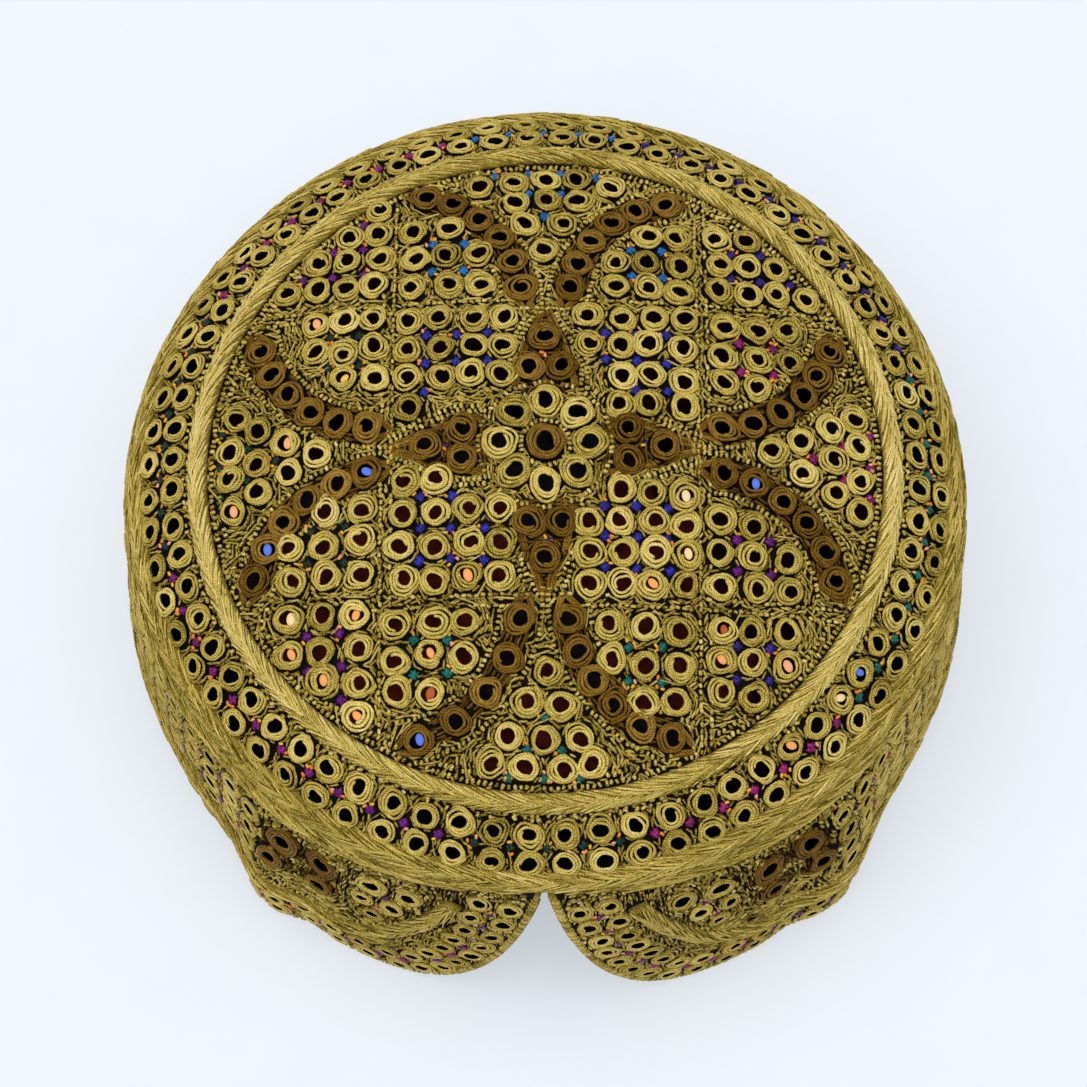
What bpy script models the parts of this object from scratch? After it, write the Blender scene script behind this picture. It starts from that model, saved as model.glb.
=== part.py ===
"""Sindhi cap: a stiff quilted cap with a low domed crown, a sloping shoulder band,
an upright wall with an arched notch at the front, couched braids along its seams
and round mirrors held by embroidery on the crown.

Metres, +Z up. The rim rests on z = 0, the notch faces -Y, and the cap's axis is Z.
Plan angles are measured from the front, positive towards +X.
"""
import math

import bpy
from mathutils import Vector

# Driving dimensions
CLOTH = 0.0022            # quilted cloth, cotton filling and lining stitched together
GAP = 0.0003              # clearance between pieces that touch
FLOOR_CORD = 0.0026       # height of the cord that binds the rim

CROWN_R = 0.0700          # radius at which the dome reaches the crown's edge height
CROWN_EDGE_Z = 0.0723     # cloth height at that radius
CROWN_RISE = 0.0149       # how far the dome rises above its edge
CROWN_POWER = 1.75        # 2 would be a parabola, less is more like a cone
CROWN_CUT_R = 0.0716      # where the crown panel ends, under the crown ring braid

BAND_START = (0.0721, 0.0716)   # inner edge of the sloping band, radius and height
BAND_ARC_R = 0.0257             # the band's profile is an arc of this radius
BAND_SLOPES = (18.0, 57.0)      # its slope at the inner and the outer edge, degrees

WALL_TOP = (0.0869, 0.0600)     # outer face of the wall at its top, radius and height
WALL_RIM_R = 0.0904             # outer face of the wall at the rim
WALL_CURVE = 2.6                # above 1 the wall bellies out below the shoulder

# The front is a little uneven. Each lobe flares beyond the rim's circle and fades out
# round the side, and a folding crease there leaves a shallow dent and a soft bulge.
FRONT_FORM = (
    # side, the lobe's flare and where it ends, the bulge and the dent, with their places
    {"side": 1.0, "flare": 0.0044, "end_deg": 58.0, "fade_deg": 24.0,
     "bulge": 0.0030, "bulge_deg": 42.0, "bulge_width_deg": 6.0,
     "dent": 0.0009, "dent_deg": 34.0, "dent_width_deg": 2.4},
    {"side": -1.0, "flare": 0.0030, "end_deg": 52.0, "fade_deg": 22.0,
     "bulge": 0.0030, "bulge_deg": 40.0, "bulge_width_deg": 4.8,
     "dent": 0.0008, "dent_deg": 33.0, "dent_width_deg": 2.4},
)

NOTCH_TOP_Z = 0.0575      # height at which the two front lobes meet
NOTCH_TOP_S = 0.0017      # half distance between their edges there, along the wall
NOTCH_REACH = 0.0390      # along the wall from there to where the rim lies flat
NOTCH_POWER = 3.2         # how quickly the lobe's edge turns into the rim
WALL_ARC_R = 0.0900       # radius that turns lengths along the wall into plan angles

BRAID_W = 0.0046
BRAID_H = 0.0018
CROWN_BRAID_AT = (0.0724, 0.0722)   # middle of the crown ring braid's seat
CROWN_BRAID_SLOPE = 20.0
SHOULDER_BRAID_AT = (0.0857, 0.0622)
SHOULDER_BRAID_SLOPE = 46.0
TOP_BRAID_Z = 0.0573      # middle of the second braid, just under the shoulder braid
TOP_BRAID_W = 0.0040
TOP_BRAID_START_DEG = 10.0
TOP_BRAID_FULL_DEG = 32.0
ARCH_START_S = 0.0190     # where the wall braid begins beside the notch
ARCH_START_Z = 0.0520
ARCH_ORIGIN_S = 0.0150
ARCH_ORIGIN_Z = 0.0600
ARCH_REACH = 0.0340
ARCH_POWER = 1.95
ARCH_LOW_Z = 0.0180       # height at which the wall braid runs round the cap

GRID_HALF = 0.0326        # half side of the square that divides the crown
CIRCLE_R = 0.0278         # radius of the four circles of brown rings at its corners
ARC_START_DEG = 5.0       # first and last ring of each brown arc, from the square's axis
ARC_STEP_DEG = 13.8
ARC_RINGS = 6
ARC_W = 0.0068
ARC_H = 0.0010
ROSETTE_R = 0.0090        # eight mirrors round the middle one
ROSETTE_COUNT = 8
PETAL_TIP_R = 0.0242      # each petal has one mirror near its tip and two near its foot
PETAL_FOOT_R = 0.0169
PETAL_FOOT_HALF = 0.0034
MIRROR_R = 0.0017
CENTRE_MIRROR_R = 0.0030
MIRROR_T = 0.0007
MIRROR_SIDES = 12

TURN_STEPS = 64
# Widths between the wall's columns, from the front to the back
COLUMN_STEPS = (
    # up to this angle, in steps of this many degrees
    {"to": 8.0, "step": 1.5},
    {"to": 26.0, "step": 2.25},
    {"to": 50.0, "step": 2.4},
    {"to": 180.0, "step": 6.5},
)
WALL_ROWS = 6

# A braid's section: across its width and up from the cloth, as shares of width and height
BRAID_SECTION = (
    {"across": -0.50, "up": 0.00},
    {"across": 0.50, "up": 0.00},
    {"across": 0.44, "up": 0.62},
    {"across": 0.00, "up": 1.00},
    {"across": -0.44, "up": 0.62},
)
# The rim cord's section: across the wall and down from its edge, flat at the bottom
CORD_SECTION = (
    {"across": -0.50, "up": -0.30},
    {"across": -0.28, "up": -0.50},
    {"across": 0.28, "up": -0.50},
    {"across": 0.50, "up": -0.30},
    {"across": 0.50, "up": 0.32},
    {"across": 0.34, "up": 0.50},
    {"across": -0.34, "up": 0.50},
    {"across": -0.50, "up": 0.32},
)
CORD_W = 0.0032


def clear_scene():
    for obj in list(bpy.data.objects):
        bpy.data.objects.remove(obj, do_unlink=True)


def new_collection(name):
    collection = bpy.data.collections.new(name)
    bpy.context.scene.collection.children.link(collection)
    return collection


def new_material(name, colour, roughness, metallic=0.0):
    material = bpy.data.materials.new(name)
    material.use_nodes = True
    shader = material.node_tree.nodes["Principled BSDF"]
    shader.inputs["Base Color"].default_value = (*colour, 1.0)
    shader.inputs["Roughness"].default_value = roughness
    shader.inputs["Metallic"].default_value = metallic
    return material


def add_mesh(name, verts, faces, collection, material, edges=()):
    mesh = bpy.data.meshes.new(name)
    mesh.from_pydata([tuple(v) for v in verts], list(edges), faces)
    mesh.materials.append(material)
    obj = bpy.data.objects.new(name, mesh)
    collection.objects.link(obj)
    return obj


# Surfaces of the cloth

def crown_z(r):
    return CROWN_EDGE_Z + CROWN_RISE * (1.0 - (r / CROWN_R) ** CROWN_POWER)


def crown_slope(r):
    """Downward slope of the dome at radius r, as an angle."""
    rise = CROWN_RISE * CROWN_POWER / CROWN_R
    return math.atan(rise * (max(r, 0.0) / CROWN_R) ** (CROWN_POWER - 1.0))


def band_point(slope_deg, inward=0.0):
    """Radius and height on the band's arc where it slopes by slope_deg."""
    first = math.radians(BAND_SLOPES[0])
    centre_r = BAND_START[0] - BAND_ARC_R * math.sin(first)
    centre_z = BAND_START[1] - BAND_ARC_R * math.cos(first)
    slope = math.radians(slope_deg)
    reach = BAND_ARC_R - inward
    return centre_r + reach * math.sin(slope), centre_z + reach * math.cos(slope)


def bump(deg, at, width):
    return math.exp(-((deg - at) / width) ** 2)


def rim_radius(deg):
    """Outer radius of the wall at the rim, with flared lobes, creases and dents."""
    form = FRONT_FORM[0] if deg >= 0.0 else FRONT_FORM[1]
    away = abs(deg)
    share = min(1.0, max(0.0, (form["end_deg"] - away) / form["fade_deg"]))
    flare = form["flare"] * share * share * (3.0 - 2.0 * share)
    bulge = form["bulge"] * bump(away, form["bulge_deg"], form["bulge_width_deg"])
    dent = form["dent"] * bump(away, form["dent_deg"], form["dent_width_deg"])
    return WALL_RIM_R + flare + bulge - dent


def wall_radius(deg, z):
    """Outer radius of the wall at a plan angle and height."""
    drop = min(1.0, max(0.0, (WALL_TOP[1] - z) / WALL_TOP[1]))
    belly = 1.0 - (1.0 - drop) ** WALL_CURVE
    return WALL_TOP[0] + (rim_radius(deg) - WALL_TOP[0]) * belly


def on_wall(deg, z, out=0.0):
    """Point on the wall's outer face, moved out by a distance."""
    a = math.radians(deg)
    r = wall_radius(deg, z) + out
    return Vector((r * math.sin(a), -r * math.cos(a), z))


def wall_normal(deg, z):
    d_deg = 0.5
    d_z = 0.0005
    along = on_wall(deg + d_deg, z) - on_wall(deg - d_deg, z)
    up = on_wall(deg, z + d_z) - on_wall(deg, z - d_z)
    return along.cross(up).normalized()


def degrees_along(s):
    return math.degrees(s / WALL_ARC_R)


# The notch and the rim

def cord_height(s):
    """Height of the rim cord's middle at a distance s from the front, along the wall."""
    low = FLOOR_CORD / 2.0
    share = (s - NOTCH_TOP_S) / NOTCH_REACH
    if share >= 1.0:
        return low
    return low + (NOTCH_TOP_Z - low) * (1.0 - share) ** NOTCH_POWER


def cord_slope(s):
    d_s = 0.00005
    return (cord_height(s + d_s) - cord_height(s - d_s)) / (2.0 * d_s)


def wall_edge():
    """The wall's lower edge beside the notch, as (s, z): the cord's middle moved
    into the wall by half a cord and the gap."""
    back = FLOOR_CORD / 2.0 + GAP
    edge = []
    count = 60
    for i in range(count + 1):
        s = NOTCH_TOP_S + NOTCH_REACH * i / count
        slope = cord_slope(s + 0.0001)
        size = math.hypot(1.0, slope)
        edge.append((s - back * slope / size, cord_height(s) + back / size))
    return edge


def edge_height(edge, deg):
    s = math.radians(abs(deg)) * WALL_ARC_R
    for (s0, z0), (s1, z1) in zip(edge, edge[1:]):
        if s <= s1:
            share = max(0.0, (s - s0) / (s1 - s0))
            return z0 + (z1 - z0) * share
    return edge[-1][1]


def column_angles(start):
    """Plan angles of the wall's columns, closer together at the front."""
    half = [start]
    for zone in COLUMN_STEPS:
        first = half[-1]
        count = max(1, round((zone["to"] - first) / zone["step"]))
        half += [first + (zone["to"] - first) * i / count for i in range(1, count + 1)]
    return half + [360.0 - a for a in reversed(half[:-1])]


def signed(deg):
    return deg - 360.0 if deg > 180.0 else deg


# Pieces

def turned(name, profile, collection, material):
    """A closed (radius, height) profile turned about the cap's axis."""
    verts = [(r, 0.0, z) for r, z in profile]
    count = len(verts)
    edges = [(i, i + 1) for i in range(count - 1)]
    if profile[0][0] > 0.0:
        edges.append((count - 1, 0))
    obj = add_mesh(name, verts, [], collection, material, edges)
    screw = obj.modifiers.new("turn", "SCREW")
    screw.axis = "Z"
    screw.angle = math.tau
    screw.steps = TURN_STEPS
    screw.render_steps = TURN_STEPS
    screw.use_merge_vertices = True
    screw.merge_threshold = 0.00001
    screw.use_smooth_shade = True
    return obj


def sweep(name, stations, section, collection, material, closed=False):
    """A section carried along stations, each with its own middle, across and up
    directions and its width and height."""
    verts = []
    for st in stations:
        for p in section:
            across = st["across"] * (p["across"] * st["width"])
            verts.append(st["at"] + across + st["up"] * (p["up"] * st["height"]))
    sides = len(section)
    faces = []
    last = len(stations) if closed else len(stations) - 1
    for i in range(last):
        a = i * sides
        b = ((i + 1) % len(stations)) * sides
        for k in range(sides):
            n = (k + 1) % sides
            faces.append((a + k, a + n, b + n, b + k))
    if not closed:
        faces.append(tuple(reversed(range(sides))))
        end = (len(stations) - 1) * sides
        faces.append(tuple(end + k for k in range(sides)))
    obj = add_mesh(name, verts, faces, collection, material)
    obj.data.shade_smooth()
    obj.data.set_sharp_from_angle(angle=math.radians(40.0))
    return obj


def make_crown(collection, material):
    """The domed crown: one quilted disc, hollow underneath."""
    rings = (0.0, 0.012, 0.026, 0.040, 0.053, 0.063, CROWN_CUT_R)
    outer = [(r, crown_z(r)) for r in rings]
    inner = []
    for r in reversed(rings):
        slope = crown_slope(r)
        inner.append((max(0.0, r - CLOTH * math.sin(slope)) if r else 0.0,
                      crown_z(r) - CLOTH * math.cos(slope)))
    return turned("crown_panel", outer + inner, collection, material)


def make_band(collection, material):
    """The sloping band between crown and wall."""
    steps = 5
    first, last = BAND_SLOPES
    slopes = [first + (last - first) * i / steps for i in range(steps + 1)]
    outer = [band_point(a) for a in slopes]
    inner = [band_point(a, CLOTH) for a in reversed(slopes)]
    return turned("shoulder_band", outer + inner, collection, material)


def turned_braid(name, at, slope_deg, collection, material):
    """A braid laid in a circle on a seam that slopes by slope_deg."""
    slope = math.radians(slope_deg)
    across = (math.cos(slope), -math.sin(slope))
    up = (math.sin(slope), math.cos(slope))
    profile = []
    for p in reversed(BRAID_SECTION):
        a = p["across"] * BRAID_W
        u = p["up"] * BRAID_H
        profile.append((at[0] + across[0] * a + up[0] * u,
                        at[1] + across[1] * a + up[1] * u))
    return turned(name, profile, collection, material)


def make_wall(collection, material):
    """The upright wall, open at the front in an arched notch between two lobes."""
    edge = wall_edge()
    start = degrees_along(edge[0][0])
    angles = [signed(a) for a in column_angles(start)]
    outer = []
    inner = []
    for deg in angles:
        low = edge_height(edge, deg)
        for row in range(WALL_ROWS + 1):
            z = WALL_TOP[1] + (low - WALL_TOP[1]) * row / WALL_ROWS
            outer.append(on_wall(deg, z))
            inner.append(on_wall(deg, z, -CLOTH))
    rows = WALL_ROWS + 1
    back = len(outer)
    faces = []
    for i in range(len(angles) - 1):
        for row in range(WALL_ROWS):
            a = i * rows + row
            b = a + rows
            faces.append((a, a + 1, b + 1, b))
            faces.append((back + a, back + b, back + b + 1, back + a + 1))
        top = i * rows
        faces.append((top, top + rows, back + top + rows, back + top))
        low = top + WALL_ROWS
        faces.append((low, back + low, back + low + rows, low + rows))
    for row in range(WALL_ROWS):
        faces.append((row, back + row, back + row + 1, row + 1))
        a = (len(angles) - 1) * rows + row
        faces.append((a, a + 1, back + a + 1, back + a))
    obj = add_mesh("side_wall", outer + inner, faces, collection, material)
    obj.data.shade_smooth()
    obj.data.set_sharp_from_angle(angle=math.radians(50.0))
    return obj


def wall_station(deg, z, ahead, width, height, out=GAP):
    """A braid's station on the wall, heading towards the point ahead."""
    normal = wall_normal(deg, z)
    at = on_wall(deg, z) + normal * out
    along = (ahead - on_wall(deg, z)).normalized()
    return {"at": at, "across": normal.cross(along).normalized(), "up": normal,
            "width": width, "height": height}


def braid_on_wall(name, path, collection, material):
    """path gives (plan angle, height, width) from one end of the braid to the other."""
    stations = []
    for i, (deg, z, width) in enumerate(path):
        j = min(i, len(path) - 2)
        ahead = on_wall(path[j + 1][0], path[j + 1][1]) - on_wall(path[j][0], path[j][1])
        if 0 < i < len(path) - 1:
            ahead += on_wall(deg, z) - on_wall(path[i - 1][0], path[i - 1][1])
        share = min(1.0, width / BRAID_W)
        stations.append(wall_station(deg, z, on_wall(deg, z) + ahead, width,
                                     BRAID_H * (0.5 + 0.5 * share)))
    return sweep(name, stations, BRAID_SECTION, collection, material)


def columns_from(start):
    """The wall's own column angles from one side of the notch round to the other."""
    first = degrees_along(wall_edge()[0][0])
    inner = [a for a in column_angles(first) if start + 0.8 < a < 360.0 - start - 0.8]
    return [start] + inner + [360.0 - start]


def make_top_braid(collection, material):
    """The second braid under the shoulder, narrowing into the notch's sides."""
    path = []
    for deg in columns_from(TOP_BRAID_START_DEG):
        away = abs(signed(deg)) - TOP_BRAID_START_DEG
        share = min(1.0, away / (TOP_BRAID_FULL_DEG - TOP_BRAID_START_DEG))
        width = TOP_BRAID_W * (0.5 + 0.5 * share)
        z = TOP_BRAID_Z + (TOP_BRAID_W - width) / 2.0
        path.append((signed(deg), z, width))
    return braid_on_wall("wall_top_braid", path, collection, material)


def arch_height(s):
    share = min(1.0, (s - ARCH_ORIGIN_S) / ARCH_REACH)
    fall = 1.0 - (1.0 - share) ** ARCH_POWER
    return ARCH_ORIGIN_Z + (ARCH_LOW_Z - ARCH_ORIGIN_Z) * fall


def make_wall_braid(collection, material):
    """The braid that follows the notch's arch and then the rim."""
    path = []
    for deg in columns_from(degrees_along(ARCH_START_S)):
        s = math.radians(abs(signed(deg))) * WALL_ARC_R
        path.append((signed(deg), min(ARCH_START_Z, arch_height(s)), BRAID_W))
    return braid_on_wall("wall_braid", path, collection, material)


def make_rim_cord(collection, material):
    """The cord that binds the rim and both edges of the notch; the cap rests on it."""
    notch_steps = 12
    rim_steps = 52
    last_s = NOTCH_TOP_S + NOTCH_REACH
    half = []
    for i in range(notch_steps):
        share = i / notch_steps
        half.append(NOTCH_TOP_S + (last_s - NOTCH_TOP_S) * share ** 1.25)
    level = degrees_along(last_s)
    angles = [degrees_along(s) for s in half]
    angles += [level + (360.0 - 2 * level) * i / rim_steps for i in range(rim_steps + 1)]
    angles += [360.0 - degrees_along(s) for s in reversed(half)]
    stations = []
    for deg in angles:
        flat = signed(deg)
        s = math.radians(abs(flat)) * WALL_ARC_R
        z = cord_height(s)
        slope = cord_slope(s + 0.0001) if s < last_s else 0.0
        normal = wall_normal(flat, z)
        normal = Vector((normal.x, normal.y, 0.0)).normalized()
        level_dir = Vector((0.0, 0.0, 1.0)).cross(normal)
        side = 1.0 if flat >= 0.0 else -1.0
        along = (level_dir * side + Vector((0.0, 0.0, slope))).normalized() * side
        stations.append({"at": on_wall(flat, z, -CLOTH / 2.0), "across": normal,
                         "up": normal.cross(along).normalized() * -1.0,
                         "width": CORD_W, "height": FLOOR_CORD})
    return sweep("rim_cord", stations, CORD_SECTION, collection, material)


# Embroidered mirrors and brown arcs on the crown

def crown_frame(x, y):
    """Point on the dome and its outward normal above the plan point x, y."""
    r = math.hypot(x, y)
    slope = crown_slope(r)
    if r < 1e-9:
        return Vector((0.0, 0.0, crown_z(0.0))), Vector((0.0, 0.0, 1.0))
    flat = Vector((x / r, y / r, 0.0))
    normal = flat * math.sin(slope) + Vector((0.0, 0.0, math.cos(slope)))
    return Vector((x, y, crown_z(r))), normal


def make_mirror(name, x, y, radius, collection, material):
    """A small round mirror lying on the crown."""
    bpy.ops.mesh.primitive_cylinder_add(vertices=MIRROR_SIDES, radius=radius,
                                        depth=MIRROR_T)
    obj = bpy.context.active_object
    for owner in list(obj.users_collection):
        owner.objects.unlink(obj)
    collection.objects.link(obj)
    obj.name = name
    obj.data.name = name
    obj.data.materials.append(material)
    at, normal = crown_frame(x, y)
    obj.location = at + normal * (2.0 * GAP + MIRROR_T / 2.0)
    obj.rotation_euler = normal.to_track_quat("Z", "Y").to_euler()
    return obj


def make_mirrors(collection, material):
    """The rosette's nine mirrors and three on each of the four petals."""
    make_mirror("rosette_mirror_centre", 0.0, 0.0, CENTRE_MIRROR_R, collection, material)
    for i in range(ROSETTE_COUNT):
        a = math.tau * i / ROSETTE_COUNT
        make_mirror(f"rosette_mirror_{i + 1}", ROSETTE_R * math.sin(a),
                    -ROSETTE_R * math.cos(a), MIRROR_R, collection, material)
    petals = (("front", 0.0), ("right", 90.0), ("back", 180.0), ("left", 270.0))
    spots = (("tip", PETAL_TIP_R, 0.0), ("foot_a", PETAL_FOOT_R, PETAL_FOOT_HALF),
             ("foot_b", PETAL_FOOT_R, -PETAL_FOOT_HALF))
    for side, deg in petals:
        a = math.radians(deg)
        for spot, along, aside in spots:
            x = along * math.sin(a) + aside * math.cos(a)
            y = -along * math.cos(a) + aside * math.sin(a)
            make_mirror(f"petal_{side}_mirror_{spot}", x, y, MIRROR_R, collection, material)


def make_arcs(collection, material):
    """Eight brown arcs, two on each circle round a corner of the square."""
    length = ARC_STEP_DEG * (ARC_RINGS - 1)
    overrun = ARC_STEP_DEG * 0.45
    steps = 10
    corners = (("front_right", 1, -1), ("back_right", 1, 1),
               ("back_left", -1, 1), ("front_left", -1, -1))
    for corner, sx, sy in corners:
        for kind in ("x", "y"):
            stations = []
            for i in range(steps + 1):
                deg = ARC_START_DEG - overrun + (length + 2 * overrun) * i / steps
                a = math.radians(deg)
                inward = GRID_HALF - CIRCLE_R * math.cos(a)
                outward = GRID_HALF + CIRCLE_R * math.sin(a)
                dx, dy = (inward, outward) if kind == "x" else (outward, inward)
                at, normal = crown_frame(sx * dx, sy * dy)
                middle, _ = crown_frame(sx * GRID_HALF, sy * GRID_HALF)
                across = (at - middle)
                across = (across - normal * across.dot(normal)).normalized()
                turn = 1.0 if (sx * sy > 0) == (kind == "x") else -1.0
                stations.append({"at": at + normal * GAP * 2.0, "across": across * turn,
                                 "up": normal, "width": ARC_W, "height": ARC_H})
            sweep(f"brown_arc_{corner}_{kind}", stations, BRAID_SECTION, collection,
                  material)


def main():
    clear_scene()
    cap = new_collection("sindhi_cap")
    cloth = new_material("gold_embroidered_cloth", (0.30, 0.24, 0.09), 0.75)
    braid = new_material("gold_braid", (0.36, 0.29, 0.10), 0.6)
    brown = new_material("brown_thread", (0.20, 0.11, 0.03), 0.65)
    glass = new_material("mirror_glass", (0.03, 0.025, 0.02), 0.08, 1.0)
    make_crown(cap, cloth)
    turned_braid("crown_ring_braid", CROWN_BRAID_AT, CROWN_BRAID_SLOPE, cap, braid)
    make_band(cap, cloth)
    turned_braid("shoulder_braid", SHOULDER_BRAID_AT, SHOULDER_BRAID_SLOPE, cap, braid)
    make_wall(cap, cloth)
    make_top_braid(cap, braid)
    make_wall_braid(cap, braid)
    make_rim_cord(cap, braid)
    make_mirrors(cap, glass)
    make_arcs(cap, brown)


main()
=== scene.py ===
"""The looks of the sindhi cap: black quilted cloth covered by stitched mirror rings, couched
braids, seed stitches and small silk stars, on a pale floor in soft light.

Lengths in the layout are millimetres, and meshes are written in metres. Plan angles are
measured in degrees from the front (-Y), positive towards +X, as in the part's source.
"""
import math

import bpy
import numpy as np
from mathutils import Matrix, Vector


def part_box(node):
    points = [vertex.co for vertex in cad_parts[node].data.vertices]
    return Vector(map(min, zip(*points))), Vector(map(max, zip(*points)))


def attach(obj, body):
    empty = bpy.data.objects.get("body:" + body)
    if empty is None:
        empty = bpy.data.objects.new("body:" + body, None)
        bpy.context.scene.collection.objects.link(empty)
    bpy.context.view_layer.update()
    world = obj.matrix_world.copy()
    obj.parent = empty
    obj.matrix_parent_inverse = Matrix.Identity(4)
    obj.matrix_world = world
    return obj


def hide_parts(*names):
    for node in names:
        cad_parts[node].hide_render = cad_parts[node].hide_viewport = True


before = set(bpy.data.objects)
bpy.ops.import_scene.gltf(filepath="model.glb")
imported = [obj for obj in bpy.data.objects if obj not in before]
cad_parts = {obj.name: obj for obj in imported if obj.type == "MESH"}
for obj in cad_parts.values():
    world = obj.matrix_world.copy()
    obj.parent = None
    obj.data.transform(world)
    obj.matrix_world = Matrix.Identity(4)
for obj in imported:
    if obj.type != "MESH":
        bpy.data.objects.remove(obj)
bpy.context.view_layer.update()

MM = 0.001
TAU = math.tau
QUARTER = math.pi / 2.0
rng = np.random.default_rng(7)


def table(columns, *rows):
    """Rows of values under named columns."""
    names = columns.split()
    return [dict(zip(names, row)) for row in rows]


def kinds(columns, **rows):
    """The same, with a name for each row."""
    return dict(zip(rows, table(columns, *rows.values())))


# The cloth's surfaces, from the same sizes as the CAD solids
CLOTH = 2.2
CORD_H = 2.6
CORD_W = 3.2
CROWN_R = 70.0
CROWN_EDGE_Z = 72.3
CROWN_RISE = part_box("crown_panel")[1].z / MM - CROWN_EDGE_Z
CROWN_POWER = 1.75
CROWN_CUT_R = 71.6
BAND_START_R = 72.1
BAND_START_Z = 71.6
BAND_ARC_R = 25.7
BAND_SLOPES = (18.0, 57.0)
WALL_TOP_R = 86.9
WALL_TOP_Z = 60.0
WALL_RIM_R = 90.4
WALL_CURVE = 2.6
WALL_ARC_R = 90.0
# Each front lobe flares, bulges beside the notch and has a dent
FRONT_FORM = table(
    "side flare end fade bulge bulge_at bulge_width dent dent_at dent_width",
    (1.0, 4.4, 58.0, 24.0, 3.0, 42.0, 6.0, 0.9, 34.0, 2.4),
    (-1.0, 3.0, 52.0, 22.0, 3.0, 40.0, 4.8, 0.8, 33.0, 2.4))
NOTCH_TOP_Z = 57.5
NOTCH_TOP_S = 1.7
NOTCH_REACH = 39.0
NOTCH_POWER = 3.2

# Braids
BRAID_W = 4.6
BRAID_H = 1.8
CROWN_BRAID_AT = (72.4, 72.2)
CROWN_BRAID_SLOPE = 20.0
SHOULDER_BRAID_AT = (85.7, 62.2)
SHOULDER_BRAID_SLOPE = 46.0
TOP_BRAID_Z = 57.3
TOP_BRAID_W = 4.0
TOP_BRAID_START = 10.0
TOP_BRAID_FULL = 32.0
SEAM_Z = 59.7
ARCH_FLAT_S = 62.0
ARCH_START_S = 19.0
ARCH_START_Z = 52.0
ARCH_ORIGIN_S = 15.0
ARCH_ORIGIN_Z = 60.0
ARCH_REACH = 34.0
ARCH_POWER = 1.95
ARCH_LOW_Z = 18.0
# A braid's solid body, as shares of its width and height
BRAID_SECTION = ((-0.47, -0.12), (0.47, -0.12), (0.45, 0.30), (0.22, 0.66), (-0.22, 0.66),
                 (-0.45, 0.30))
# Rows of strokes, from one share of the width to another, this far ahead along the braid
PLAIT_ROWS = table("from to ahead lift every", (0.47, -0.12, 8.2, 0.84, 1.0),
                   (-0.47, 0.12, 8.2, 0.84, 1.0), (0.20, -0.20, 8.0, 1.00, 2.4),
                   (-0.34, 0.00, 8.0, 0.98, 3.4))
LONG_ROWS = table("from to ahead lift every", (0.50, 0.20, 6.6, 0.82, 1.0),
                  (-0.50, -0.20, 6.6, 0.82, 1.0), (0.28, -0.06, 6.2, 0.98, 1.0),
                  (-0.26, 0.08, 6.2, 0.98, 1.0))
SEAM_ROWS = table("from to ahead lift every", (0.45, -0.20, 5.0, 0.8, 1.0),
                  (-0.45, 0.20, 5.0, 0.9, 1.0))

# Embroidery on the crown
GRID_HALF = 32.6
CIRCLE_R = 27.8
ROSETTE_R = 9.0
ROSETTE_COUNT = 8
PETAL_TIP_R = 24.2
PETAL_FOOT_R = 16.9
PETAL_FOOT_HALF = 3.4
PETAL_END = 33.8
PETAL_EDGE = ((11.8, 6.6), (17.6, 6.8), (23.4, 4.5), (28.0, 2.3), (32.4, 0.3))
GOLD_RING_R = 3.25
BROWN_RING_R = 3.4
ROSETTE_RING_R = 3.5
CENTRE_RING_R = 4.2
CENTRE_HOLE_R = 1.75
HOLE_R = 1.3
BROWN_REACH = 9.8
# Seed stitches: how far they lie beside the circles' axes and beside the circles, the
# rosette's two circles of them, and the two circles of teeth inside the crown's braid
SEED_ASIDE = 1.05
SEED_LINE_END = 60.5
SEED_OFF_CIRCLE = 4.25
ROSETTE_SEEDS_R = (5.0, 13.7)
TEETH_R = (69.3, 67.7)
TEETH_STEP = 1.22
SEEDS_END_R = 69.8
SEEDS_APART = 0.92
# Fine stitches wherever cloth is left
GROUND_STEP = 0.90
GROUND_END_R = 70.1
LOOSE_SHARE = 0.045
# How each kind of ring is wound: turns, points a turn, sides of its thread, how far it
# rises over its bed, and how far it is stretched northwards
RING_STYLES = kinds(
    "turns segments sides rise bed oval",
    gold=(2.8, 20, 5, 1.1, 0.55, 0.0),
    arc=(3.0, 20, 5, 1.1, 0.55, 0.0),
    rosette=(3.0, 20, 5, 1.2, 0.85, 0.12),
    petal=(3.2, 20, 5, 1.2, 0.85, 0.0),
    centre=(3.4, 28, 5, 1.2, 0.85, 0.0),
    wall_front=(2.7, 17, 5, 0.75, 0.4, 0.10),
    wall_back=(2.4, 13, 4, 0.8, 0.4, 0.0),
    hem_front=(2.6, 17, 5, 0.7, 0.35, 0.10),
    hem_back=(2.3, 13, 4, 0.75, 0.35, 0.0),
    wall_brown=(3.1, 20, 5, 0.9, 0.45, 0.36))
# Sizes of each kind of stitch, as add_stitches takes them
STITCHES = kinds(
    "length half_width half_height lift sides tint",
    bright_knot=((0.9, 1.3), 0.34, 0.32, 0.75, 5, None),
    petal_knot=(1.2, 0.36, 0.32, 0.9, 5, None),
    seed=((1.05, 1.55), (0.34, 0.48), 0.36, (0.5, 0.75), 5, (0.5, 0.25)),
    shoulder_knot=((0.9, 1.5), (0.34, 0.46), 0.36, (0.5, 0.8), 5, (0.62, 0.25)),
    shoulder_tooth=((1.1, 1.9), 0.36, 0.32, 0.55, 4, None),
    shoulder_ground=((1.5, 2.5), (0.27, 0.36), 0.28, (0.25, 0.6), 3, (0.42, 0.24)))

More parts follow.
